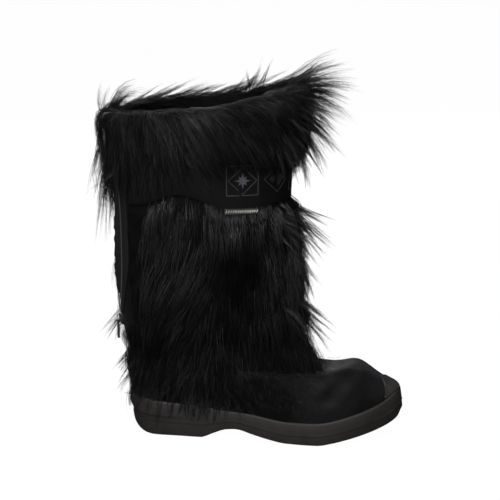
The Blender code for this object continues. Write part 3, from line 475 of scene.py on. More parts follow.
def soleWall(x):
    # inset and height of the side wall's corners at x, from the bottom up, with rounded edges
    under, top = soleUnder(x), soleTop(x)
    height = top - under
    tread, rim = under + height * sole["treadShare"], top - height * sole["rimShare"]
    proud = sole["rimProud"] * (1 - softStep(0.010, 0.085, x))
    lean = sole["toeLean"] * softStep(0.255, sole["length"], x)
    inset, soft = sole["treadInset"], sole["chamfer"]
    deep = ledge(x) - gap * 2.6
    return (
        (inset + soft, under), (inset + soft * 0.3, under + soft * 0.3), (inset, under + soft),
        (lean * 0.18 + inset, tread - 0.0006), (lean * 0.2 + inset * 0.8, tread),
        (lean * 0.2 + inset * 0.3, tread + inset * 1.2), (lean * 0.2, tread + inset * 2),
        (lean * 0.38, rim - sole["rimProud"] - 0.0006),
        (lean * 0.42 - proud * 0.25, rim - sole["rimProud"] * 0.6),
        (lean * 0.48 - proud * 0.85, rim - 0.0002), (lean * 0.52 - proud, rim + 0.0010),
        (lean * 0.85 - proud, top - soft), (lean * 0.95 + soft * 0.18 - proud, top - soft * 0.35),
        (lean + soft * 0.5 - proud, top), ((deep + lean) * 0.6, top + 0.0002), (deep, top),
        (deep, top - sole["cupDepth"]),
    )


def makeSole():
    points, normals = outline(sole["steps"])
    xs = points[:, 0]
    rings = []
    for inset, height in soleWall(xs):
        ring = points - normals * np.broadcast_to(inset, xs.shape)[:, None]
        rings.append(np.column_stack([ring[:, 0] + heelBack, ring[:, 1], np.broadcast_to(height, xs.shape)]))
    verts = np.array(rings)
    levels, around = verts.shape[:2]
    index = np.arange(levels * around).reshape(levels, around)
    faces = ringFaces(index[:-1], index[1:])
    steps = around // 2
    for ring in (index[0].tolist(), index[-1].tolist()):  # the underside and the bed, in strips across
        faces.append([ring[0], ring[1], ring[-1]])
        faces += [[ring[i], ring[i + 1], ring[around - i - 1], ring[around - i]] for i in range(1, steps - 1)]
        faces.append([ring[steps - 1], ring[steps], ring[steps + 1]])
    made = faceOutward(newPiece("cup_sole", verts, faces, [mouldedRubber], smooth=28))
    places = [start + sole["groovePitch"] * k for start, count in
              (sole["heelGrooves"], sole["forefootGrooves"]) for k in range(count)]
    for x in places:
        slope = (soleUnder(x + 0.002) - soleUnder(x - 0.002)) / 0.004
        along = np.array(Vector((1, 0, slope)).normalized()) * sole["grooveWidth"] / 2
        depth = np.array(Vector((-slope, 0, 1)).normalized()) * sole["grooveDepth"]
        reach = soleHalf(x) * endRounding(x) - sole["grooveMargin"]
        across = np.linspace(soleCentre(x) - reach, soleCentre(x) + reach, sole["grooveSteps"])
        shift = sole["grooveWave"] / 2 * np.cos(np.pi * np.arange(sole["grooveSteps"]) / 2)
        centre = np.column_stack([heelBack + x + shift, across, soleUnder(x + shift)])
        bar = np.stack([centre + along + depth, centre - along + depth, centre - along - depth,
                        centre + along - depth], 1)
        cutAway(made, loftPiece("groove", bar, [mouldedRubber], smooth=0))
    made.data.set_sharp_from_angle(angle=math.radians(28))
    return finishPiece(made, "outsole")


makeSole()
print("sole made")


# Upper, with its slit for the zip and its lining

zipper = {
    "angle": math.radians(198), "bottom": 0.122, "widest": 0.190, "topSpread": math.radians(6.5),
    "middleSpread": math.radians(13), "tapeLow": 0.0060, "tapeHigh": 0.0120, "tapeThick": 0.0009,
    "rowStart": 0.0055, "toothPitch": 0.0021, "toothSize": (0.0017, 0.0011, 0.0010),
    "toothAway": 0.00105, "toothProud": 0.00045, "tapeWide": 0.20,
    "cordRadius": 0.0012, "cordMargin": math.radians(1.8), "cordDrop": 0.052, "cordOut": 0.0040,
}
slit = {"rows": 27, "above": 0.03, "reach": 0.012, "least": math.radians(0.8)}
vampCrease = {  # a soft diagonal fold on the outer side: x, height at its two ends
    "low": (0.218, 0.054), "high": (0.241, 0.080), "width": 0.0058, "depth": 0.0015, "ridge": 0.0009,
    "ridgeAway": 1.9,
}


def zipSpread(level):
    share = np.clip((level - zipper["bottom"]) / (zipper["widest"] - zipper["bottom"]), 0, 1)
    opening = zipper["middleSpread"] * np.sin(np.pi / 2 * share)
    narrowing = softStep(zipper["widest"], upper["collar"], level)
    return opening + (zipper["topSpread"] - zipper["middleSpread"]) * narrowing


def creaseDepth(points):
    # how far the vamp is pushed in at the crease, and its ridge out
    a, b = (np.array((heelBack + x, z)) for x, z in (vampCrease["low"], vampCrease["high"]))
    flat = points[..., (0, 2)] - a
    line = b - a
    t = np.clip(flat @ line / (line @ line), -0.15, 1.1)
    away = np.linalg.norm(flat - t[..., None] * line, axis=-1) / vampCrease["width"]
    fade = softStep(0.0, -0.012, points[..., 1])
    ridge = vampCrease["ridge"] * np.exp(-((away - vampCrease["ridgeAway"]) ** 2)) * softStep(1.25, 0.7, t)
    return (vampCrease["depth"] * np.exp(-(away**2)) - ridge) * fade


def makeUpper():
    angles = 2 * np.pi * np.arange(upper["around"]) / upper["around"]
    ways = np.concatenate([[0], np.linspace(upper["firstStep"], 1, upper["footRows"])])
    foot = footPoint(angles[:, None], ways[None, :])
    levels = np.linspace(upper["ankle"], upper["collar"], upper["shaftRows"] + 1)[1:]
    outer = np.concatenate([foot, ringPoint(angles[:, None], levels[None, :])], 1)
    normals = gridNormals(outer)
    normals[:, :2] = unit(normals[:, :2] * (1, 1, 0))
    inner = outer - normals * upper["wall"]
    inner[:, 0, 2] = outer[:, 0, 2]
    inner[:, -1, 2] = outer[:, -1, 2]
    outer = outer - normals * creaseDepth(outer)[..., None]
    size = outer.shape[1]
    paint = np.repeat((0, 1), size)
    sections = np.concatenate([outer, inner[:, ::-1]], 1)
    made = loftPiece("hide_upper", sections, [shortNap, cloth["liningCloth"]], True, 50, paint)
    beyond, reach = slit["above"], slit["reach"]
    levels = np.append(np.linspace(zipper["bottom"], upper["collar"], slit["rows"]), upper["collar"] + beyond)
    spread = np.maximum(zipSpread(levels), slit["least"])
    corners = [ringPoint(zipper["angle"] + side * spread, np.minimum(levels, upper["collar"]), out)
               for side, out in ((-1, reach), (1, reach), (1, -reach), (-1, -reach))]
    wedge = np.stack(corners, 1)
    wedge[-1, :, 2] += beyond
    cutAway(made, loftPiece("slit", wedge, [cloth["tapeCloth"]], smooth=0))
    made.data.set_sharp_from_angle(angle=math.radians(50))
    return finishPiece(made, "upper")


makeUpper()
print("upper made")


def keepNode(name, finish):
    # a CAD part that shows as it is, in a better material
    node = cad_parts[name]
    node.data.materials.clear()
    node.data.materials.append(finish)
    return node


keepNode("insole", cloth["feltCloth"])
bumper = {"spread": math.radians(22), "low": 0.135, "rise": 0.27, "base": 0.0026, "edge": 0.0013,
          "across": 56, "up": 16, "least": 0.02, "crownPower": 1.6, "thinPower": 1.3, "levelShare": 0.3,
          "edgeUp": 0.07, "edgeAcross": 0.04, "edgeThick": 0.35}


def makeBumper():
    share = np.linspace(-1, 1, bumper["across"] + 1)[:, None]
    angle = bumper["spread"] * share
    high = bumper["low"] + bumper["least"] + bumper["rise"] * (1 - np.abs(share) ** bumper["crownPower"])
    rise = np.linspace(0, 1, bumper["up"] + 1)[None, :]
    ways = bumper["low"] + (high - bumper["low"]) * rise
    surface = footPoint(angle, ways)
    ahead, above = footPoint(angle + 0.02, ways), footPoint(angle, ways + 0.01)
    out = unit(np.cross(ahead - footPoint(angle - 0.02, ways), above - surface))
    level = unit(out * (1, 1, 0))
    tilt = softStep(0, bumper["levelShare"], rise)[..., None]
    out = unit(level * (1 - tilt) + out * tilt)
    base = bumper["base"] + (bumper["edge"] - bumper["base"]) * share**4
    edge = np.minimum((1 - rise) / bumper["edgeUp"], (1 - np.abs(share)) / bumper["edgeAcross"])
    least = bumper["edgeThick"]
    rounding = least + (1 - least) * np.sqrt(1 - (1 - np.clip(edge, 0, 1)) ** 2)
    thick = (bumper["edge"] + (base - bumper["edge"]) * (1 - rise) ** bumper["thinPower"]) * rounding
    outside = surface + out * thick[..., None]
    inside = surface + out * gap * 1.6
    sections = np.concatenate([outside, inside[:, ::-1]], 1)
    return finishPiece(loftPiece("gloss_bumper", sections, [glossRubber], smooth=50), "toe_bumper")


makeBumper()
print("bumper made")


# Band with its woven figures, and the bar on its lower edge

band = {
    "low": 0.2440, "high": 0.2960, "thick": 0.0014, "rise": 0.0040,
    "archAngle": math.radians(263), "archSpread": math.radians(17), "archRise": 0.0125,
    "tabAngle": math.radians(302.5), "tabSpread": math.radians(21), "tabDrop": 0.0105,
    "figurePitch": 0.0405, "figureCentre": 0.1275, "figureHeight": 0.0300, "figureLevel": 0.2738,
    "squareHalf": 0.0164, "diamondHalf": 0.0148, "freeDiamondHalf": 0.0172,
    "lineWidth": 0.0009, "lineHeight": 0.00030, "starSize": 0.0086, "figures": 7,
    "zipMargin": math.radians(12), "waveDepth": 0.00035, "waves": 23, "sunk": -0.00008,
}


def hump(angle, centre, spread, power):
    # 1 at the centre, falling to 0 round the boot
    away = (angle - centre + np.pi) % (2 * np.pi) - np.pi
    return np.exp(-np.abs(away / spread) ** power)


def bandEdge(angle):
    arch = band["archRise"] * hump(angle, band["archAngle"], band["archSpread"], 2)
    tab = band["tabDrop"] * hump(angle, band["tabAngle"], band["tabSpread"], 4)
    return band["low"] + band["rise"] * (1 + np.cos(angle)) / 2 + arch - tab


def aroundFromZip(spare, steps):
    # angles round the boot from one side of the zip to the other
    return np.linspace(zipper["angle"] + spare, zipper["angle"] + 2 * np.pi - spare, steps)


def makeBand():
    angle = aroundFromZip(zipper["middleSpread"] + band["zipMargin"], 190)[:, None]
    low, high = levelAt(angle, bandEdge(angle)), levelAt(angle, band["high"] + 0 * angle)
    rise = np.array([0, 0.01, 0.03, 0.2, 0.4, 0.6, 0.8, 0.97, 0.99, 1.0])
    out = gap + band["thick"] * np.array([0.55, 0.85, 1, 1, 1, 1, 1, 1, 0.85, 0.55])
    wave = band["waveDepth"] * np.sin(angle * band["waves"]) * np.sin(rise * 3.1)
    face = ringPoint(angle, low + (high - low) * rise, out + wave)
    back = ringPoint(angle, low + (high - low) * rise[::-1], gap + 0 * rise)
    made = loftPiece("woven_band", np.concatenate([face, back], 1), [cloth["ribbonCloth"]], smooth=50)
    return finishPiece(made, "ribbon_band")


# places along the band, in metres from the middle of the square figure on the outer side towards the toe
bandTurn = np.linspace(np.pi, 3.4 * np.pi, 2401)
bandLine = ringPoint(bandTurn, band["figureLevel"], band["thick"])
bandTravel = travelled(bandLine[:, :2])
bandTravel -= np.interp(heelBack + band["figureCentre"], bandLine[:1000, 0], bandTravel[:1000])


def onBand(flat, out):
    # flat holds (along, up) in metres from the middle of the square figure
    angle = np.interp(flat[..., 0], bandTravel, bandTurn)
    return ringPoint(angle, levelAt(angle, band["figureLevel"] + flat[..., 1]), gap + band["thick"] + out)


def figureStrip(points, width, height):
    # a raised strip of thread along a closed line on the band
    line = np.array(points, float)
    fine = []
    for a, b in zip(line, np.roll(line, -1, axis=0)):
        count = max(2, int(np.linalg.norm(b - a) / 0.004))
        fine += [a + (b - a) * k / count for k in range(count)]
    fine = np.array(fine)
    before, after = unit(fine - np.roll(fine, 1, axis=0)), unit(np.roll(fine, -1, axis=0) - fine)
    ahead = unit(before + after)
    side = np.column_stack([-ahead[:, 1], ahead[:, 0]])
    miter = 1 / np.maximum(np.abs((side * np.column_stack([-after[:, 1], after[:, 0]])).sum(1)), 0.5)
    side = side * miter[:, None] * width / 2
    rows = [(1, band["sunk"]), (0.8, height), (-0.8, height), (-1, band["sunk"])]
    return np.stack([onBand(fine + side * w, np.full(len(fine), h)) for w, h in rows], 1)


def figurePlate(points, height):
    # a raised plate with a middle, for a star or a filled diamond
    line = np.array(points, float)
    centre = line.mean(0)
    rings = [(1.0, band["sunk"]), (0.97, height), (0.5, height), (0.06, height)]
    return np.stack([onBand(centre + (line - centre) * s, np.full(len(line), h)) for s, h in rings], 0)


def mergePieces(name, parts):
    bpy.ops.object.select_all(action="DESELECT")
    for part in parts:
        part.select_set(True)
    bpy.context.view_layer.objects.active = parts[0]
    bpy.ops.object.join()
    parts[0].name = name
    parts[0].data.name = name
    return finishPiece(parts[0])


def makeFigures():
    parts = []
    pitch, half = band["figurePitch"], band["figureHeight"] / 2
    width, height = band["lineWidth"], band["lineHeight"]

    def addLine(points, width):
        strip = figureStrip(points, width, height)
        parts.append(loftPiece("line", strip, [cloth["lineThread"]], wrap=True, smooth=20))

    def addPlate(name, points, height, finish):
        parts.append(loftPiece(name, figurePlate(points, height), [cloth[finish]], smooth=20))

    for k in range(band["figures"]):
        centre = k * pitch
        square = np.array([(-1, -1), (1, -1), (1, 1), (-1, 1)]) * (band["squareHalf"], half) + (centre, 0)
        reach = band["diamondHalf" if k % 2 == 0 else "freeDiamondHalf"]
        diamond = np.array([(0, -0.92), (1, 0), (0, 0.92), (-1, 0)]) * (reach, half) + (centre, 0)
        if k % 2 == 0:
            addLine(square, width)
            star = []
            for i in range(16):
                size = band["starSize"] * (1 if i % 4 == 0 else 0.74 if i % 2 == 0 else 0.40)
                star.append((centre + size * math.sin(i * np.pi / 8), size * math.cos(i * np.pi / 8)))
            addPlate("star", star, height * 1.4, "starThread")
        addLine(diamond, width * 0.8)
        if k % 2:
            small = (diamond - (centre, 0)) * 0.66 + (centre, 0)
            addPlate("patch", small, height, "patchThread")
    return mergePieces("band_figures", parts)


makeBand()
makeFigures()
keepNode("trim_bar", barMetal)
print("band made")


# Zip: cloth gusset, the two tapes with their teeth, and the cords that edge the cuff's slit

gusset = {
    "thick": 0.0012, "margin": math.radians(5.5), "bulge": 0.0050, "below": 0.008, "topDrop": 0.024,
    "rows": 60, "across": 41, "edgeIn": math.radians(3.2), "leastEdge": 0.28,
    "swellFrom": math.radians(4.5), "swellFull": math.radians(9), "creaseSink": 0.0008,
}


def makeGusset():
    # the cloth swells out of the open zip, in soft creases
    top = upper["collar"] - gusset["topDrop"]
    levels = np.linspace(zipper["bottom"] - gusset["below"], top, gusset["rows"])[None, :]
    share = np.linspace(-1, 1, gusset["across"])[:, None]
    spread, margin, least = zipSpread(levels), gusset["margin"], gusset["leastEdge"]
    angle = zipper["angle"] + share * (spread + margin)
    inside = -upper["wall"] - gap * 2.4 - gusset["thick"]
    edge = np.maximum(spread - gusset["edgeIn"], 0) / (spread + margin)
    swell = np.where(edge > least, 1 - softStep(0, 1, np.abs(share) / np.maximum(edge, least)), 0)
    swell = swell * softStep(gusset["swellFrom"], gusset["swellFull"], spread)
    creases = 0.0007 * np.sin(levels * 340 + share * 2.4 + 1.6 * np.sin(levels * 95))
    creases = creases + 0.0005 * np.sin(levels * 610 - share * 4.1)
    proud = (upper["wall"] + gap + gusset["bulge"]) * swell
    sunk = (creases - gusset["creaseSink"]) * swell
    face = ringPoint(angle, levels, inside + proud + gusset["thick"] + sunk)
    back = ringPoint(angle, levels, inside + proud)
    sections = np.concatenate([face, back[:, ::-1]], 1)
    made = loftPiece("cloth_gusset", sections, [cloth["gussetCloth"]], smooth=60)
    return finishPiece(made, "zip_gusset")


def zipEdge(side, levels, away, out):
    # a place beside the slit's edge, away from it round the shaft
    edge = zipper["angle"] + side * zipSpread(levels)
    turn = 0.02 / np.linalg.norm(ringPoint(edge + side * 0.02, levels) - ringPoint(edge, levels), axis=-1)
    return ringPoint(edge + side * turn * away, levels, out)


def makeTape(name, side, node):
    low, top = zipper["bottom"] + zipper["rowStart"], upper["collar"] - 0.054
    levels = np.linspace(low, top, 46)
    wider = (zipper["tapeHigh"] - zipper["tapeLow"]) * softStep(zipper["bottom"], zipper["tapeWide"], levels)
    width = zipper["tapeLow"] + wider
    near, thick = gap * 2, zipper["tapeThick"]
    shape = [(0.0006, near), (width, near), (width, near + thick * 0.7), (width - 0.0004, near + thick),
             (0.0022, near + thick), (0.0010, near + thick), (0.0006, near + thick * 0.7)]
    sections = np.stack([zipEdge(side, levels, away, np.full(len(levels), out)) for away, out in shape], 1)
    return finishPiece(loftPiece(name, sections, [cloth["tapeCloth"]], smooth=50), node)


def newGroup(name, sockets):
    group = bpy.data.node_groups.new(name, "GeometryNodeTree")
    group.interface.new_socket("Geometry", in_out="INPUT", socket_type="NodeSocketGeometry")
    for label, kind, value in sockets:
        made = group.interface.new_socket(label, in_out="INPUT", socket_type="NodeSocket" + kind)
        if value is not None:
            made.default_value = value
    group.interface.new_socket("Geometry", in_out="OUTPUT", socket_type="NodeSocketGeometry")
    return group, group.nodes.new("NodeGroupInput").outputs, group.nodes.new("NodeGroupOutput")


def finishGroup(group, geometry, finish, output):
    real = addNode(group, "GeometryNodeRealizeInstances", {"Geometry": geometry}).outputs[0]
    painted = addNode(group, "GeometryNodeSetMaterial", {"Geometry": real, "Material": finish}).outputs[0]
    group.links.new(painted, output.inputs[0])


def runGroup(piece, group, values):
    modifier = piece.modifiers.new("nodes", "NODES")
    modifier.node_group = group
    for item in group.interface.items_tree:
        if item.in_out == "INPUT" and item.name in values:
            modifier[item.identifier] = values[item.name]
    return bakeModifiers(piece)


def linePiece(name, lines, attributes):
    # polylines as loose edges. lines is an array: which line, which point, xyz
    count, size = lines.shape[:2]
    index = np.arange(count * size).reshape(count, size)
    edges = np.stack([index[:, :-1], index[:, 1:]], -1).reshape(-1, 2)
    mesh = bpy.data.meshes.new(name)
    mesh.from_pydata(lines.reshape(-1, 3).tolist(), edges.tolist(), [])
    for key, values in attributes.items():
        kind = "FLOAT_VECTOR" if values.shape[-1:] == (3,) else "FLOAT"
        layer = mesh.attributes.new(key, kind, "POINT")
        layer.data.foreach_set("vector" if kind == "FLOAT_VECTOR" else "value", values.astype(float).ravel())
    piece = bpy.data.objects.new(name, mesh)
    bpy.context.scene.collection.objects.link(piece)
    return piece


def named(group, name, kind="FLOAT"):
    # a value that the lines carry
    made = addNode(group, "GeometryNodeInputNamedAttribute", {"Name": name}, data_type=kind)
    return made.outputs["Attribute"]


def barGroup():
    # sets a small rounded bar across a path at every step
    sockets = (("Pitch", "Float", 0.002), ("Size", "Vector", (0.0017, 0.0011, 0.001)),
               ("Finish", "Material", None))
    group, values, output = newGroup("barRow", sockets)
    curve = addNode(group, "GeometryNodeMeshToCurve", {"Mesh": values["Geometry"]}).outputs[0]
    points = addNode(group, "GeometryNodeCurveToPoints", {"Curve": curve, "Length": values["Pitch"]},
                     mode="LENGTH")
    axes = {"Primary Axis": named(group, "out", "FLOAT_VECTOR"),
            "Secondary Axis": named(group, "across", "FLOAT_VECTOR")}
    turn = addNode(group, "FunctionNodeAxesToRotation", axes, primary_axis="Z", secondary_axis="X")
    ball = addNode(group, "GeometryNodeMeshUVSphere", {"Segments": 8, "Rings": 6, "Radius": 0.58}).outputs[0]
    bar = addNode(group, "GeometryNodeTransform", {"Geometry": ball, "Scale": values["Size"]}).outputs[0]
    bar = addNode(group, "GeometryNodeSetShadeSmooth", {"Geometry": bar}).outputs[0]
    placed = addNode(group, "GeometryNodeInstanceOnPoints", {
        "Points": points.outputs["Points"], "Instance": bar, "Rotation": turn.outputs[0]}).outputs[0]
    finishGroup(group, placed, values["Finish"], output)
    return group


barRow = barGroup()


def makeTeeth(name, side):
    levels = np.linspace(zipper["bottom"] + zipper["rowStart"] + 0.001, upper["collar"] - 0.055, 90)
    proud = gap * 2 + zipper["tapeThick"] + zipper["toothProud"]
    route = zipEdge(side, levels, zipper["toothAway"], proud)
    beyond = zipEdge(side, levels, zipper["toothAway"] + 0.001, proud)
    out = ringNormal(zipper["angle"] + side * zipSpread(levels), levels)
    piece = linePiece(name, route[None], {"out": out, "across": unit(beyond - route)})
    values = {"Pitch": zipper["toothPitch"], "Size": zipper["toothSize"], "Finish": cloth["toothNylon"]}
    runGroup(piece, barRow, values)
    return finishPiece(piece)


def tube(name, route, radius, finish, sides=10):
    # a closed round cord along a route
    ahead = unit(np.gradient(route, axis=0))
    side = unit(np.cross(ahead, (0.0, 0.0, 1.0)))
    up = np.cross(side, ahead)
    turn = 2 * np.pi * np.arange(sides) / sides
    ring = side[:, None] * np.cos(turn)[None, :, None] + up[:, None] * np.sin(turn)[None, :, None]
    scale = np.ones(len(route))
    scale[[0, -1]] = 0.55
    sections = route[:, None] + ring * (radius * scale)[:, None, None]
    return loftPiece(name, sections, [finish], smooth=60)


def smoothRoute(points, count):
    points = np.array(points, float)
    travel = travelled(points)
    lines = [smoothLine(travel, points[:, k]) for k in range(3)]
    t = np.linspace(0, travel[-1], count)
    return np.column_stack([line(t) for line in lines])


def makeCord(name, side, node):
    angle = zipper["angle"] + side * (zipper["topSpread"] + zipper["cordMargin"])
    outside = gap * 2 + band["thick"] + zipper["cordOut"]
    collar, drop = upper["collar"], zipper["cordDrop"]
    route = [ringPoint(angle, collar - drop * share, outside) for share in (1.0, 0.7, 0.4, 0.12)]
    route.append(ringPoint(angle, collar, outside * 0.6) + (0, 0, 0.0032))
    route.append(ringPoint(angle, collar, -upper["wall"]) + (0, 0, 0.0036))
    piece = tube(name, smoothRoute(route, 26), zipper["cordRadius"], cloth["cordSatin"])
    return finishPiece(piece, node)


makeGusset()
for rowName, rowSide, rowNode in (("front", 1, "zip_row_front"), ("back", -1, "zip_row_back")):
    makeTape("zip_tape_" + rowName, rowSide, rowNode)
    makeTeeth("zip_teeth_" + rowName, rowSide)
    makeCord("cuff_cord_" + rowName, rowSide, "cuff_piping_" + rowName)
trimBar = {"spread": math.radians(11), "low": 0.0026, "height": 0.0062, "thick": 0.0014,
           "pitch": 0.0023, "rib": (0.0044, 0.0011, 0.0009), "slant": math.radians(24)}


def makeRibs():
    # plain slanted ribs along the bar on the band's edge
    angle = band["tabAngle"] + trimBar["spread"] * np.linspace(-1, 1, 60)
    height = bandEdge(np.array(band["tabAngle"])) + trimBar["low"] + trimBar["height"] / 2
    level = levelAt(angle, height + 0 * angle)
    route = ringPoint(angle, level, gap * 2.4 + band["thick"] + trimBar["thick"] + 0.0001)
    out = ringNormal(angle, level)
    ahead = unit(np.gradient(route, axis=0))
    up = np.cross(ahead, out) * -1
    across = up * math.cos(trimBar["slant"]) + ahead * math.sin(trimBar["slant"])
    piece = linePiece("trim_ribs", route[None], {"out": out, "across": across})
    runGroup(piece, barRow, {"Pitch": trimBar["pitch"], "Size": trimBar["rib"], "Finish": ribMetal})
    return finishPiece(piece)


makeRibs()
keepNode("zip_slider", darkMetal)
keepNode("zip_pull", darkMetal)
print("zip made")


# The coat that the long hair grows from: round the shaft, and over the collar

coat = {
    "hem": 0.104, "side": 0.0046, "front": 0.0075, "edge": 0.0022,
    "cuffSide": 0.0058, "cuffFront": 0.0100, "cuffBack": 0.0064, "cuffDrop": 0.050, "crown": 0.0062,
    "crownFront": 0.0080, "insideDrop": 0.020, "zipMargin": math.radians(27), "cuffMargin": math.radians(3.4),
}


def coatDepth(angle, height):
    full = coat["side"] + (coat["front"] - coat["side"]) * softStep(0.2, 0.95, np.cos(angle))
    rough = 1 + 0.13 * np.sin(angle * 11 + height * 160) + 0.10 * np.sin(angle * 23 - height * 270 + 1.0)
    upperEdge = softStep(0.0, 0.008, bandEdge(angle) - height)
    lowerEdge = softStep(coat["hem"] - 0.006, coat["hem"] + 0.016, height)
    return coat["edge"] * upperEdge * lowerEdge + (full * rough - coat["edge"]) * upperEdge * lowerEdge


def makeShaftCoat():
    angle = aroundFromZip(coat["zipMargin"], 150)[:, None]
    top = bandEdge(angle) - gap * 2
    low = coat["hem"] + 0.012 * softStep(0.4, 1.0, np.cos(angle))
    height = low + (top - low) * np.linspace(0, 1, 40)[None, :]
    level = levelAt(angle, height)
    depth = coatDepth(angle + 0 * height, height) + 0.0008
    face = ringPoint(angle, level, gap + depth)
    back = ringPoint(angle, level[:, ::-1], gap * 1.5)
    sections = np.concatenate([face, back], 1)
    return finishPiece(loftPiece("shaft_coat", sections, [underHair], smooth=70), "shaft_pelt")


def cuffDepth(angle):
    front = (coat["cuffFront"] - coat["cuffSide"]) * softStep(0.3, 0.95, np.cos(angle))
    back = (coat["cuffBack"] - coat["cuffSide"]) * softStep(0.3, 0.95, -np.cos(angle))
    return coat["cuffSide"] + front + back


def cuffPath(angle, share):
    # the cuff's face, from its hem outside, over the collar, to its hem inside: share runs from 0 to 1
    angle, share = np.broadcast_arrays(angle, share)
    collar, wall = upper["collar"], upper["wall"]
    thick = cuffDepth(angle)
    crown = coat["crown"] + coat["crownFront"] * softStep(0.2, 0.95, np.cos(angle))
    outside = gap * 3 + band["thick"]
    drop = collar - coat["cuffDrop"]
    zero = 0.0 * angle
    inside = zero - wall - gap * 2
    stops = (
        (drop, outside + thick * 0.30, zero), (drop + 0.005, outside + thick * 0.8, zero),
        (drop + 0.018, outside + thick, zero), (collar - 0.016, outside + thick, zero),
        (collar - 0.004, outside + thick * 0.86, crown * 0.25), (collar, outside + thick * 0.5, crown * 0.62),
        (collar, zero - wall * 0.1, crown), (collar, inside - coat["crown"] * 0.45, crown * 0.62),
        (collar, inside - coat["crown"] * 0.62, crown * 0.1),
        (collar - coat["insideDrop"] * 0.5, inside - coat["crown"] * 0.55, zero),
        (collar - coat["insideDrop"], inside - 0.0012, zero),
    )
    points = []
    for level, out, up in stops:
        point = ringPoint(angle, level + zero, out)
        point[..., 2] += up
        points.append(point)
    points = np.stack(points, 0)
    place = np.clip(share * (len(stops) - 1), 0, len(stops) - 1 - 1e-9)
    first = place.astype(int)
    t = (place - first)[..., None]

    def stop(offset):
        chosen = np.clip(first + offset, 0, len(stops) - 1)[None, ..., None]
        return np.take_along_axis(points, np.broadcast_to(chosen, (1, *share.shape, 3)), 0)[0]

    a, b, c, d = stop(-1), stop(0), stop(1), stop(2)
    return 0.5 * (2 * b + (c - a) * t + (2 * a - 5 * b + 4 * c - d) * t**2 + (3 * b - a - 3 * c + d) * t**3)


def makeCuffCoat():
    angle = aroundFromZip(zipper["topSpread"] + coat["cuffMargin"], 170)[:, None]
    share = np.linspace(0, 1, 44)[None, :]
    face = cuffPath(angle, share + 0 * angle)
    out = ringNormal(angle + 0 * share, upper["collar"] + 0 * share + 0 * angle)
    rough = 0.0005 * np.sin(angle * 17 + share * 40) * np.sin(np.pi * share)
    face = face + out * rough[..., None]
    collar, inside, outside = upper["collar"], -upper["wall"] - gap * 2, gap * 3 + band["thick"]
    backStops = ((collar - coat["insideDrop"], inside), (collar + gap, inside),
                 (collar + gap, outside), (collar - coat["cuffDrop"], outside))
    back = []
    for (levelA, outA), (levelB, outB) in zip(backStops[:-1], backStops[1:]):
        for t in np.linspace(0, 1, 6)[:-1]:
            level = levelA + (levelB - levelA) * t
            point = ringPoint(angle[:, 0], min(level, collar), outA + (outB - outA) * t)
            point[:, 2] += max(level - collar, 0)
            back.append(point)
    back.append(ringPoint(angle[:, 0], collar - coat["cuffDrop"], outside))
    sections = np.concatenate([face, np.stack(back, 1)], 1)
    return finishPiece(loftPiece("cuff_coat", sections, [underHair], smooth=70), "cuff")


makeShaftCoat()
makeCuffCoat()
print("coat made")


# Long hair: locks are combed over the skin in numpy, and a node tree turns each one into tapered hairs

lock = {"Hairs": 8, "Spread": 0.0030, "Gather": 0.62, "Frizz": 0.0014, "Radius": 0.00014}
hair = {
    "lengths": (0.65, 1.15), "lifts": (0.5, 1.3), "tones": (0.45, 1.45), "swirlSeed": 3, "clear": 0.0006,
    "droop": 0.35, "wild": 0.15, "curl": 0.20, "backLimit": -0.1095, "topLimit": 0.3970,
}
shaftComb = (  # x, z, flow in the side view in degrees (0 to the toe, -90 down), lift, length
    (0.000, 0.235, -95, 0.50, 0.040), (0.020, 0.250, -90, 0.50, 0.036), (0.060, 0.235, -92, 0.50, 0.040),
    (0.100, 0.235, -88, 0.55, 0.040), (0.140, 0.230, -82, 0.55, 0.036), (0.168, 0.225, -60, 0.90, 0.036),
    (0.015, 0.200, -95, 0.45, 0.042), (0.060, 0.200, -108, 0.45, 0.046), (0.095, 0.205, -112, 0.50, 0.046),
    (0.130, 0.200, -92, 0.45, 0.042), (0.160, 0.200, -72, 0.60, 0.036),
    (0.020, 0.160, -105, 0.45, 0.044), (0.060, 0.165, -128, 0.50, 0.046), (0.090, 0.170, -125, 0.50, 0.044),
    (0.130, 0.160, -92, 0.45, 0.042), (0.165, 0.160, -75, 0.65, 0.036),
    (0.020, 0.130, -112, 0.50, 0.042), (0.060, 0.130, -122, 0.50, 0.044), (0.100, 0.125, -98, 0.45, 0.042),
    (0.140, 0.125, -85, 0.50, 0.036), (0.170, 0.125, -72, 0.65, 0.034),
    (0.000, 0.095, -120, 0.65, 0.034), (0.030, 0.085, -112, 0.50, 0.036), (0.060, 0.080, -108, 0.45, 0.034),
    (0.090, 0.080, -95, 0.40, 0.030), (0.120, 0.080, -85, 0.32, 0.024), (0.150, 0.080, -72, 0.25, 0.018),
    (0.020, 0.050, -104, 0.45, 0.036), (0.080, 0.045, -95, 0.40, 0.036), (0.120, 0.045, -85, 0.30, 0.024),
)
cuffComb = (
    (-0.030, 0.345, -90, 0.02, 0.024), (-0.030, 0.325, -94, 0.14, 0.046), (-0.020, 0.300, -98, 0.40, 0.060),
    (-0.005, 0.292, -92, 0.30, 0.054), (0.020, 0.320, -84, 0.45, 0.056),
    (0.020, 0.295, -84, 0.35, 0.044), (0.060, 0.320, -72, 0.45, 0.054), (0.060, 0.295, -76, 0.35, 0.040),
    (0.090, 0.320, -58, 0.45, 0.050), (0.092, 0.295, -66, 0.35, 0.034), (0.130, 0.318, -52, 0.50, 0.044),
    (0.122, 0.295, -60, 0.35, 0.024), (0.168, 0.325, -35, 0.80, 0.044), (0.168, 0.300, -50, 0.70, 0.034),
    (0.020, 0.346, -74, 0.30, 0.036), (0.070, 0.350, -60, 0.28, 0.034), (0.120, 0.354, -28, 0.32, 0.040),
    (0.170, 0.360, 5, 0.75, 0.046),
)
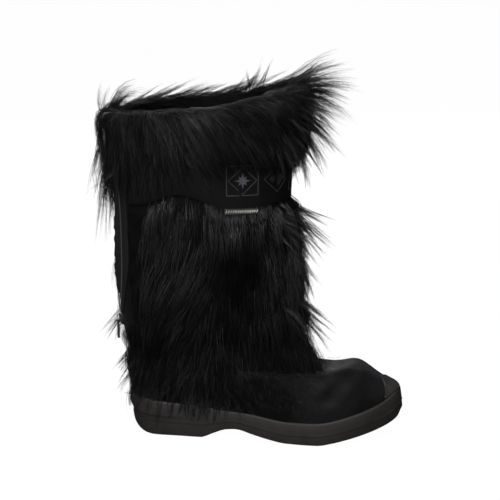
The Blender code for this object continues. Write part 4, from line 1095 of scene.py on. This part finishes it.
rimComb = (
    (-0.015, 0.345, 20, 0.60, 0.030), (0.020, 0.345, 14, 0.55, 0.034), (0.060, 0.350, 12, 0.50, 0.038),
    (0.110, 0.356, 16, 0.55, 0.040), (0.150, 0.362, 25, 0.75, 0.040), (0.170, 0.366, 40, 1.00, 0.036),
)


skinStops = {"edge": 3, "foot": 18, "shaft": 34, "band": 6, "cuff": 36}


def skinGrid():
    # the surface that hair lies on: sole edge, foot, coat, band and cuff, as one grid
    angle = (2 * np.pi * np.arange(160) / 160)[:, None]
    start = featherLine(angle[:, 0])
    side = unit(ringNormal(angle[:, 0], 0 * angle[:, 0] + upper["ankle"]))
    edge = start + side * (ledge(start[:, :1] - heelBack) + sole["rimProud"] * 0.5)
    rows = [edge + (0, 0, lift) for lift in (-0.012, -0.006, 0.0028)]
    foot = footPoint(angle, np.linspace(upper["firstStep"] + 0.01, 1, skinStops["foot"])[None, :])
    foot = foot + gridNormals(foot) * 0.0004
    low = upper["ankle"] + 0.003
    height = low + (bandEdge(angle) - 0.001 - low) * np.linspace(0, 1, skinStops["shaft"])[None, :]
    shaft = ringPoint(angle, levelAt(angle + 0 * height, height), gap + coatDepth(angle + 0 * height, height))
    height = bandEdge(angle) + (0.285 - bandEdge(angle)) * np.linspace(0, 1, skinStops["band"])[None, :]
    ribbon = ringPoint(angle, levelAt(angle + 0 * height, height), gap + band["thick"] + 0 * height)
    cuff = cuffPath(angle, np.linspace(0, 1, skinStops["cuff"])[None, :])
    grid = np.concatenate([np.stack(rows, 1), foot, shaft, ribbon, cuff], 1)
    bounds = np.cumsum([0, *skinStops.values()])
    return grid, dict(zip(skinStops, zip(bounds[:-1], bounds[1:])))


skinPoints, skinRows = skinGrid()
skinNormals = gridNormals(skinPoints)
turns, stops = skinPoints.shape[:2]
corner = np.arange(turns * stops).reshape(turns, stops)
after = np.roll(corner, -1, axis=0)
skinFaces = np.stack([corner[:, :-1], after[:, :-1], after[:, 1:], corner[:, 1:]], -1)
skin = BVHTree.FromPolygons(skinPoints.reshape(-1, 3).tolist(), skinFaces.reshape(-1, 4).tolist())


def scatterRoots(count, zone, chance, rng):
    # places on a zone's rows, spread by area and by chance(angle, row share, point)
    first, last = skinRows[zone]
    grid, normal = skinPoints[:, first:last], skinNormals[:, first:last]
    after = np.roll(grid, -1, axis=0)
    span, climb = after[:, :-1] - grid[:, :-1], grid[:, 1:] - grid[:, :-1]
    area = np.linalg.norm(np.cross(span, climb), axis=-1)
    angle = (2 * np.pi * (np.arange(turns) + 0.5) / turns)[:, None] + 0 * area
    share = (np.arange(last - first - 1) + 0.5)[None, :] / (last - first - 1) + 0 * area
    weight = area * chance(angle, share, (grid[:, :-1] + after[:, 1:]) / 2)
    chosen = rng.choice(area.size, count, p=(weight / weight.sum()).ravel())
    i, j = np.unravel_index(chosen, area.shape)
    u, v = rng.random(count)[:, None], rng.random(count)[:, None]
    n = (i + 1) % turns

    def mix(values):
        low = values[i, j] * (1 - u) + values[n, j] * u
        high = values[i, j + 1] * (1 - u) + values[n, j + 1] * u
        return low * (1 - v) + high * v

    return mix(grid), unit(mix(normal))


def pushOut(points, facing, clear):
    moved, normals = points.copy(), facing.copy()
    for k, point in enumerate(points):
        place, normal, _, _ = skin.find_nearest(point, 0.02)
        if place is None:
            continue
        away = (Vector(point) - place).dot(normal)
        normals[k] = normal
        if away < clear:
            moved[k] = place + normal * clear
    return moved, normals


def combed(table, points):
    # flow, lift and length at the points, blended from the table's rows by distance in the side view
    rows = np.array(table)
    place = points[:, (0, 2)] - (heelBack, 0)
    weight = 1 / (((place[:, None] - rows[None, :, :2]) ** 2).sum(-1) + 0.007**2) ** 1.6
    weight /= weight.sum(1, keepdims=True)
    flow = np.radians(rows[:, 2])
    way = np.column_stack([weight @ np.cos(flow), 0 * place[:, 0], weight @ np.sin(flow)])
    return unit(way), weight @ rows[:, 3], weight @ rows[:, 4]


def swirl(points, seed):
    # a slow wander of the combing over the surface, in radians
    wave = sum(np.sin(points @ np.random.default_rng(seed + k).normal(0, 90, 3) + k) for k in range(4))
    return wave * 0.11


def growLocks(roots, normals, table, rng, longer=1.0, wild=1.0, points=4):
    # combed lines from the roots, pushed out of the skin as they go
    way, lift, length = combed(table, roots)
    tangent = unit(way - normals * (way * normals).sum(1, keepdims=True))
    turn = (rng.normal(0, hair["wild"] * wild, len(roots)) + swirl(roots, hair["swirlSeed"]) * wild)[:, None]
    tangent = tangent * np.cos(turn) + np.cross(normals, tangent) * np.sin(turn)
    length = length * rng.uniform(*hair["lengths"], len(roots)) * longer
    lift = lift * rng.uniform(*hair["lifts"], len(roots))
    curl = rng.normal(0, hair["curl"] * wild, len(roots))
    here, normal, lines = roots, normals, [roots]
    for k in range(1, points):
        share = k / (points - 1)
        side = np.cross(normal, tangent)
        step = tangent + normal * (lift * (1.1 - 1.6 * share))[:, None] + side * (curl * share)[:, None]
        step[:, 2] -= hair["droop"] * share
        here = here + unit(step) * (length / (points - 1))[:, None]
        here[:, 0] = np.maximum(here[:, 0], hair["backLimit"])
        here, normal = pushOut(here, normal, hair["clear"] * (0.4 + 0.6 * share))
        tangent = unit(tangent - normal * (tangent * normal).sum(1, keepdims=True))
        lines.append(here)
    return np.stack(lines, 1)


paintedShineRows = (  # x, z, painted light and shade on the hair there, 0 to 1: low values paint shade, high values paint highlights
    (0.000, 0.330, 0.30), (0.050, 0.328, 0.40), (0.095, 0.320, 0.80), (0.130, 0.310, 0.70),
    (0.165, 0.320, 0.60), (0.030, 0.292, 0.58), (0.075, 0.295, 1.00), (0.110, 0.288, 0.50),
    (0.170, 0.370, 0.25), (0.080, 0.354, 0.12), (0.030, 0.342, 0.08), (0.062, 0.342, 0.08),
    (0.100, 0.340, 0.70), (0.132, 0.345, 0.16), (0.010, 0.225, 0.35), (0.040, 0.238, 0.95),
    (0.085, 0.235, 0.95), (0.120, 0.235, 0.95), (0.160, 0.230, 0.90), (0.020, 0.195, 0.60),
    (0.060, 0.195, 0.90), (0.095, 0.200, 0.85), (0.112, 0.172, 0.00), (0.138, 0.170, 0.00),
    (0.125, 0.150, 0.02), (0.100, 0.158, 0.20), (0.168, 0.180, 1.00), (0.165, 0.150, 1.00),
    (0.070, 0.165, 0.85), (0.030, 0.160, 0.70), (0.030, 0.120, 0.38), (0.075, 0.120, 0.48),
    (0.120, 0.118, 0.30), (0.155, 0.110, 0.45), (0.030, 0.080, 0.34), (0.070, 0.070, 0.62),
    (0.110, 0.080, 0.55), (0.140, 0.060, 0.50), (0.010, 0.050, 0.45), (0.153, 0.074, 0.22),
)


def paintedShineAt(points):
    # painted light and shade of the hair there, blended from the table's rows
    rows = np.array(paintedShineRows)
    place = points[:, (0, 2)] - (heelBack, 0)
    weight = 1 / (((place[:, None] - rows[None, :, :2]) ** 2).sum(-1) + 0.006**2) ** 2
    return weight @ rows[:, 2] / weight.sum(1)


wispRows = (  # zone, angles, places, how many, flow of the first and last, outward, length, bend at the tip
    ("cuff", (4, 48), (0.60, 0.56), 28, (58, 30), 0.10, 0.062, -40),
    ("cuff", (-10, 30), (0.58, 0.50), 34, (30, -4), 0.20, 0.060, -42),
    ("cuff", (-24, 14), (0.48, 0.36), 30, (-6, -30), 0.30, 0.052, -34),
    ("cuff", (-34, 8), (0.36, 0.24), 34, (-30, -58), 0.32, 0.050, -22),
    ("cuff", (-42, 4), (0.24, 0.10), 32, (-56, -84), 0.28, 0.042, -8),
    ("cuff", (56, 80), (0.60, 0.62), 9, (88, 50), 0.00, 0.034, -14),
    ("cuff", (40, 156), (0.60, 0.64), 66, (37, 27), 0.00, 0.049, -22),
    ("cuff", (-88, -16), (0.46, 0.56), 26, (-16, 18), 0.10, 0.034, -34),
    ("cuff", (160, 186), (0.58, 0.50), 11, (104, 62), 0.02, 0.040, -88),
    ("cuff", (183, 187), (0.42, 0.46), 2, (118, 106), 0.05, 0.036, -60),
    ("cuff", (152, 188), (0.34, 0.04), 44, (-103, -94), 0.07, 0.056, 16),
    ("cuff", (164, 194), (0.14, 0.02), 24, (-91, -85), 0.04, 0.086, 4),
    ("cuff", (208, 226), (0.30, 0.08), 8, (-98, -92), 0.30, 0.056, 0),
    ("shaft", (-34, 16), (0.240, 0.218), 32, (-34, -64), 0.42, 0.048, 8),
    ("shaft", (-30, 16), (0.205, 0.165), 12, (-58, -74), 0.40, 0.036, 0),
    ("shaft", (-30, 14), (0.150, 0.118), 22, (-44, -60), 0.45, 0.042, -6),
    ("shaft", (166, 176), (0.125, 0.112), 5, (-112, -104), 0.40, 0.036, 0),
    ("foot", (160, 214), (0.98, 0.50), 18, (-128, -112), 0.50, 0.030, 12),
)


def wispRoots(zone, angle, place):
    if zone == "cuff":
        return cuffPath(angle, place)
    if zone == "foot":
        return footPoint(angle, place)
    return ringPoint(angle, levelAt(angle, place), coatDepth(angle, place))


def growWisps(rows, rng, points=5):
    lines = []
    for zone, angles, places, count, flows, outward, length, bend in rows:
        t = (np.arange(count) + rng.uniform(0.1, 0.9, count)) / count
        angle = np.radians(angles[0] + (angles[1] - angles[0]) * rng.random(count))
        here = wispRoots(zone, angle, places[0] + (places[1] - places[0]) * t)
        normal = ringNormal(angle, 0 * angle + 0.3)
        here = here - normal * 0.001
        flow = np.radians(flows[0] + (flows[1] - flows[0]) * t + rng.normal(0, 7, count))
        fan = rng.normal(0, 0.16, count)
        size = length * rng.uniform(0.55, 1.12, count) / (points - 1)
        line = [here]
        for k in range(1, points):
            turned = flow + math.radians(bend) * (k - 0.5) / (points - 1)
            way = np.column_stack([np.cos(turned), fan, np.sin(turned)])
            step = unit(way + normal * outward * (1.2 - k / points))
            here = here + step * size[:, None]
            here[:, 0] = np.maximum(here[:, 0], hair["backLimit"])
            here[:, 2] = np.minimum(here[:, 2], hair["topLimit"])
            here, _ = pushOut(here, normal, 0.0012)
            line.append(here)
        lines.append(np.stack(line, 1))
    return np.concatenate(lines)


def hairGroup():
    sockets = (("Hairs", "Int", 7), ("Spread", "Float", 0.002), ("Gather", "Float", 0.7),
               ("Frizz", "Float", 0.002), ("Radius", "Float", 0.00017), ("Shine", "Float", 1.0),
               ("Seed", "Int", 1))
    group, values, output = newGroup("hairLocks", sockets)
    curve = addNode(group, "GeometryNodeMeshToCurve", {"Mesh": values["Geometry"]}).outputs[0]
    copies = addNode(group, "GeometryNodeDuplicateElements", {"Geometry": curve, "Amount": values["Hairs"]},
                     domain="SPLINE").outputs["Geometry"]
    index = addNode(group, "GeometryNodeInputIndex").outputs[0]
    share, lockToneAndShine = named(group, "share"), named(group, "lockToneAndShine")
    root = named(group, "root", "FLOAT_VECTOR")
    position = addNode(group, "GeometryNodeInputPosition").outputs[0]

    def maths(operation, a, b=0.0):
        return addNode(group, "ShaderNodeMath", {0: a, 1: b}, operation=operation).outputs[0]

    def vectors(operation, a, b=None, scale=None):
        inputs = {0: a}
        if b is not None:
            inputs[1] = b
        if scale is not None:
            inputs[3] = scale
        return addNode(group, "ShaderNodeVectorMath", inputs, operation=operation).outputs[0]

    def perHair(kind, low, high, salt):
        # one random value for each hair
        first = 0 if kind == "FLOAT_VECTOR" else 2
        seed = maths("ADD", values["Seed"], salt)
        random = addNode(group, "FunctionNodeRandomValue", {first: low, first + 1: high, "ID": index,
                                                            "Seed": seed}, data_type=kind)
        out = random.outputs[0 if kind == "FLOAT_VECTOR" else 1]
        held = addNode(group, "GeometryNodeFieldOnDomain", {0: out}, domain="CURVE", data_type=kind)
        return held.outputs[0]

    apart = maths("SUBTRACT", 1.0, maths("MULTIPLY", share, values["Gather"]))
    spread = maths("MULTIPLY", values["Spread"], apart)
    offset = vectors("SCALE", perHair("FLOAT_VECTOR", (-1, -1, -1), (1, 1, 1), 1), scale=spread)
    length = perHair("FLOAT", 0.62, 1.06, 2)
    scaled = vectors("ADD", root, vectors("SCALE", vectors("SUBTRACT", position, root), scale=length))
    shifted = vectors("ADD", position, perHair("FLOAT_VECTOR", (-9, -9, -9), (9, 9, 9), 3))
    noise = addNode(group, "ShaderNodeTexNoise", {"Vector": shifted, "Scale": 55.0, "Detail": 1.0})
    wander = vectors("SUBTRACT", noise.outputs["Color"], (0.5, 0.5, 0.5))
    frizz = vectors("SCALE", wander, scale=maths("MULTIPLY", maths("MULTIPLY", values["Frizz"], 2.0), share))
    place = vectors("ADD", vectors("ADD", scaled, offset), frizz)
    moved = addNode(group, "GeometryNodeSetPosition", {"Geometry": copies, "Position": place}).outputs[0]
    # each hair's tone: a random tone, with a few much lighter hairs as painted glints, times the lock's
    # painted light and shade and the piece's shine value
    toneAndPaintedShine = maths("ADD", 0.3, maths("MULTIPLY", 1.5, maths("POWER", perHair("FLOAT", 0.0, 1.0, 4), 2.5)))
    toneAndPaintedShine = maths("MULTIPLY", maths("MULTIPLY", toneAndPaintedShine, lockToneAndShine), values["Shine"])
    kept = addNode(group, "GeometryNodeStoreNamedAttribute", {
        "Geometry": moved, "Name": "toneAndPaintedShine", "Value": toneAndPaintedShine}, data_type="FLOAT", domain="POINT").outputs[0]
    taper = maths("SUBTRACT", 1.0, maths("MULTIPLY", maths("MULTIPLY", share, share), 0.88))
    radius = maths("MULTIPLY", maths("MULTIPLY", values["Radius"], perHair("FLOAT", 0.7, 1.3, 5)), taper)
    circle = addNode(group, "GeometryNodeCurvePrimitiveCircle", {"Resolution": 3, "Radius": 1.0}).outputs[0]
    tubes = addNode(group, "GeometryNodeCurveToMesh", {
        "Curve": kept, "Profile Curve": circle, "Scale": radius, "Fill Caps": True}).outputs[0]
    smooth = addNode(group, "GeometryNodeSetShadeSmooth", {"Geometry": tubes}).outputs[0]
    finishGroup(group, smooth, longHair, output)
    return group


hairTree = hairGroup()
hairCount = []


def hairPiece(name, lines, seed, **changes):
    count, size = lines.shape[:2]
    # each lock's tone is its painted light and shade from the table, times a random tone
    toneAndPaintedShine = paintedShineAt(lines[:, size // 2]) * np.random.default_rng(seed).uniform(*hair["tones"], count)
    piece = linePiece(name, lines, {
        "share": np.broadcast_to(np.linspace(0, 1, size), (count, size)),
        "root": np.repeat(lines[:, :1], size, axis=1),
        "lockToneAndShine": np.repeat(toneAndPaintedShine[:, None], size, axis=1),
    })
    runGroup(piece, hairTree, {**lock, "Seed": seed, **changes})
    hairCount.append((name, sum(len(p.vertices) - 2 for p in piece.data.polygons)))
    return finishPiece(piece)


def furPiece(name, count, zone, chance, comb, seed, wild=1.0, longer=1.0, **changes):
    roots, normals = scatterRoots(count, zone, chance, rng)
    return hairPiece(name, growLocks(roots, normals, comb, rng, longer, wild), seed, **changes)


def outerSide(angle):
    # 1 on the outer side of the boot, 0 on the inner one
    return softStep(np.pi - 0.1, np.pi + 0.1, angle) * softStep(2 * np.pi + 0.1, 2 * np.pi - 0.1, angle)


def offZip(angle, spare):
    # 0 within the spare angle beside the zip, 1 beyond it
    away = np.abs((angle - zipper["angle"] + np.pi) % (2 * np.pi) - np.pi)
    return softStep(spare - 0.02, spare + 0.02, away)


rng = np.random.default_rng(11)
sleek = {"Spread": 0.0042, "Gather": 0.25, "Frizz": 0.0007}
innerSpare, cuffSpare = 0.47, 0.17


def shaftSpare(point):
    # how far from the zip the long hair starts: its smooth margin is widest below the band
    height = point[..., 2]
    spare = 0.16 * softStep(0.084, 0.092, height) + 0.34 * softStep(0.112, 0.124, height)
    return spare + 0.22 * softStep(0.135, 0.205, height)


# the shine value given to a piece scales the tone of all its hair: above 1 it is painted light, below 1
# painted shade
furPiece("hair_shaft_outer", 900, "shaft", lambda a, s, p: outerSide(a) * offZip(a, shaftSpare(p)),
         shaftComb, 21, wild=0.5, Hairs=10, Shine=1.12, **sleek)
furPiece("hair_shaft_inner", 430, "shaft", lambda a, s, p: (1 - outerSide(a)) * offZip(a, innerSpare),
         shaftComb, 22, wild=0.6, **sleek)


def tabRoots(count, rng):
    # the hair also covers the part of the band that reaches down behind the bar
    angle = band["tabAngle"] + band["tabSpread"] * rng.uniform(-1.15, 1.15, count)
    drop = band["tabDrop"] * hump(angle, band["tabAngle"], band["tabSpread"], 4)
    height = bandEdge(angle) + drop * rng.uniform(0.25, 0.95, count)
    level = levelAt(angle, height)
    return ringPoint(angle, level, gap + band["thick"]), ringNormal(angle, level)


tabComb = ((0.110, 0.245, -90, 0.12, 0.022), (0.160, 0.245, -84, 0.14, 0.022))
lines = growLocks(*tabRoots(100, rng), tabComb, rng, wild=0.4)
hairPiece("hair_tab", lines, 29, Spread=0.0009, Gather=0.2, Frizz=0.0005)


def ankleChance(point):
    # from the heel to the instep, less far forward low down
    x = point[..., 0] - heelBack
    high = softStep(0.026, 0.038, point[..., 2])
    low = softStep(0.088, 0.056, point[..., 2])
    return high * softStep(0.196 - 0.054 * low, 0.150 - 0.040 * low, x)


def outerCuff(angle, share):
    # thicker from the crown on
    return outerSide(angle) * (share < 0.62) * (1 + 1.5 * (share > 0.42)) * offZip(angle, cuffSpare)


def innerCuff(angle, share, low, high):
    return (1 - outerSide(angle)) * (share > low) * (share < high) * offZip(angle, cuffSpare)


furPiece("hair_ankle", 660, "foot", lambda a, s, p: ankleChance(p), shaftComb, 23, longer=0.85)
furPiece("hair_cuff_outer", 900, "cuff", lambda a, s, p: outerCuff(a, s),
         cuffComb, 24, wild=0.8, Hairs=9, Gather=0.5, Frizz=0.001, Shine=0.85)
furPiece("hair_cuff_inner", 360, "cuff", lambda a, s, p: innerCuff(a, s, 0.0, 0.40), cuffComb, 25)
# the rim inside the collar gets a low shine value, as painted shade
furPiece("hair_rim", 340, "cuff", lambda a, s, p: innerCuff(a, s, 0.40, 0.78), rimComb, 26, Shine=0.2)
hairPiece("hair_wisps", growWisps(wispRows, rng), 27, Hairs=13, Spread=0.0026, Gather=0.85, Frizz=0.0032,
          Shine=0.6)


def napChance(point):
    # the short nap of the vamp, between the ankle and the bumper
    x = point[..., 0] - heelBack
    return softStep(0.085, 0.125, x) * softStep(0.225, 0.165, x) * softStep(0.030, 0.044, point[..., 2])


napComb = ((0.100, 0.07, -60, 0.45, 0.014), (0.130, 0.05, -55, 0.40, 0.012), (0.160, 0.07, -40, 0.35, 0.010),
           (0.200, 0.06, -35, 0.30, 0.007))
furPiece("hair_vamp", 420, "foot", lambda a, s, p: napChance(p),
         napComb, 28, Hairs=6, Spread=0.0032, Gather=0.3, Frizz=0.0008, Radius=0.00011)
print("hair made:", hairCount, "triangles in all", sum(n for _, n in hairCount))


# Camera, light and floor

camera = {"azimuth": 10, "elevation": 11, "distance": 2.0, "lens": 139, "aim": (0.073, 0.0, 0.1925)}
studio = {"world": 0.05, "aim": (0.06, 0, 0.2), "size": 12.0, "floorGlow": 0.985, "backGlow": 1.005,
          "shade": 0.05}
lightBoxes = (  # name, place, watts, size
    ("topBox", (0.05, -0.25, 1.6), 11, (1.6, 1.2)), ("frontBox", (-0.15, -2.2, 1.3), 34, (1.0, 1.0)),
    ("backBox", (-1.0, 1.7, 1.3), 20, (1.0, 1.0)),
)


def addLight(name, place, watts, size):
    data = bpy.data.lights.new(name, "AREA")
    data.energy, data.shape, data.size, data.size_y = watts, "RECTANGLE", *size
    lamp = bpy.data.objects.new(name, data)
    bpy.context.scene.collection.objects.link(lamp)
    lamp.location = place
    lamp.rotation_euler = (Vector(studio["aim"]) - Vector(place)).to_track_quat("-Z", "Y").to_euler()


def paperFinish(name, glow):
    # pale paper that is lit mostly from behind, so that it stays pale round a black object
    made = Finish(name, Roughness=0.9, Specular_IOR_Level=0.0)
    made.shader.inputs["Emission Color"].default_value = (1, 1, 1, 1)
    made.shader.inputs["Emission Strength"].default_value = glow
    fleck = made.noise(3.0, detail=2.0)
    return made.wire(Base_Color=made.ramp(fleck, ((0.2, studio["shade"]), (0.8, studio["shade"] * 1.1))))


def makeStudio():
    size = studio["size"]
    corners = [(-size, -size, 0), (size, -size, 0), (size, size, 0), (-size, size, 0)]
    paper = paperFinish("floorPaper", studio["floorGlow"])
    floor = newPiece("floor", corners, [(0, 1, 2, 3)], [paper], smooth=0)
    made = bmesh.new()
    bmesh.ops.create_uvsphere(made, u_segments=48, v_segments=24, radius=size * 0.9)
    bmesh.ops.reverse_faces(made, faces=made.faces)
    mesh = bpy.data.meshes.new("backdrop")
    made.to_mesh(mesh)
    made.free()
    mesh.materials.append(paperFinish("backPaper", studio["backGlow"]))
    backdrop = bpy.data.objects.new("backdrop", mesh)
    bpy.context.scene.collection.objects.link(backdrop)
    for each in (floor, backdrop):
        each.visible_diffuse = each.visible_glossy = each.visible_transmission = each.visible_shadow = False
    world = bpy.data.worlds.new("studio")
    world.use_nodes = True
    world.node_tree.nodes["Background"].inputs["Color"].default_value = (1, 1, 1, 1)
    world.node_tree.nodes["Background"].inputs["Strength"].default_value = studio["world"]
    bpy.context.scene.world = world
    for box in lightBoxes:
        addLight(*box)
    bpy.context.scene.view_settings.view_transform = "Standard"


def makeCamera():
    turn, climb = math.radians(camera["azimuth"]), math.radians(camera["elevation"])
    away = Vector((math.sin(turn) * math.cos(climb), -math.cos(turn) * math.cos(climb), math.sin(climb)))
    lens = bpy.data.cameras.new("camera")
    lens.lens = camera["lens"]
    made = bpy.data.objects.new("camera", lens)
    bpy.context.scene.collection.objects.link(made)
    made.location = Vector(camera["aim"]) + away * camera["distance"]
    made.rotation_euler = (-away).to_track_quat("-Z", "Y").to_euler()
    bpy.context.scene.camera = made


makeStudio()
makeCamera()
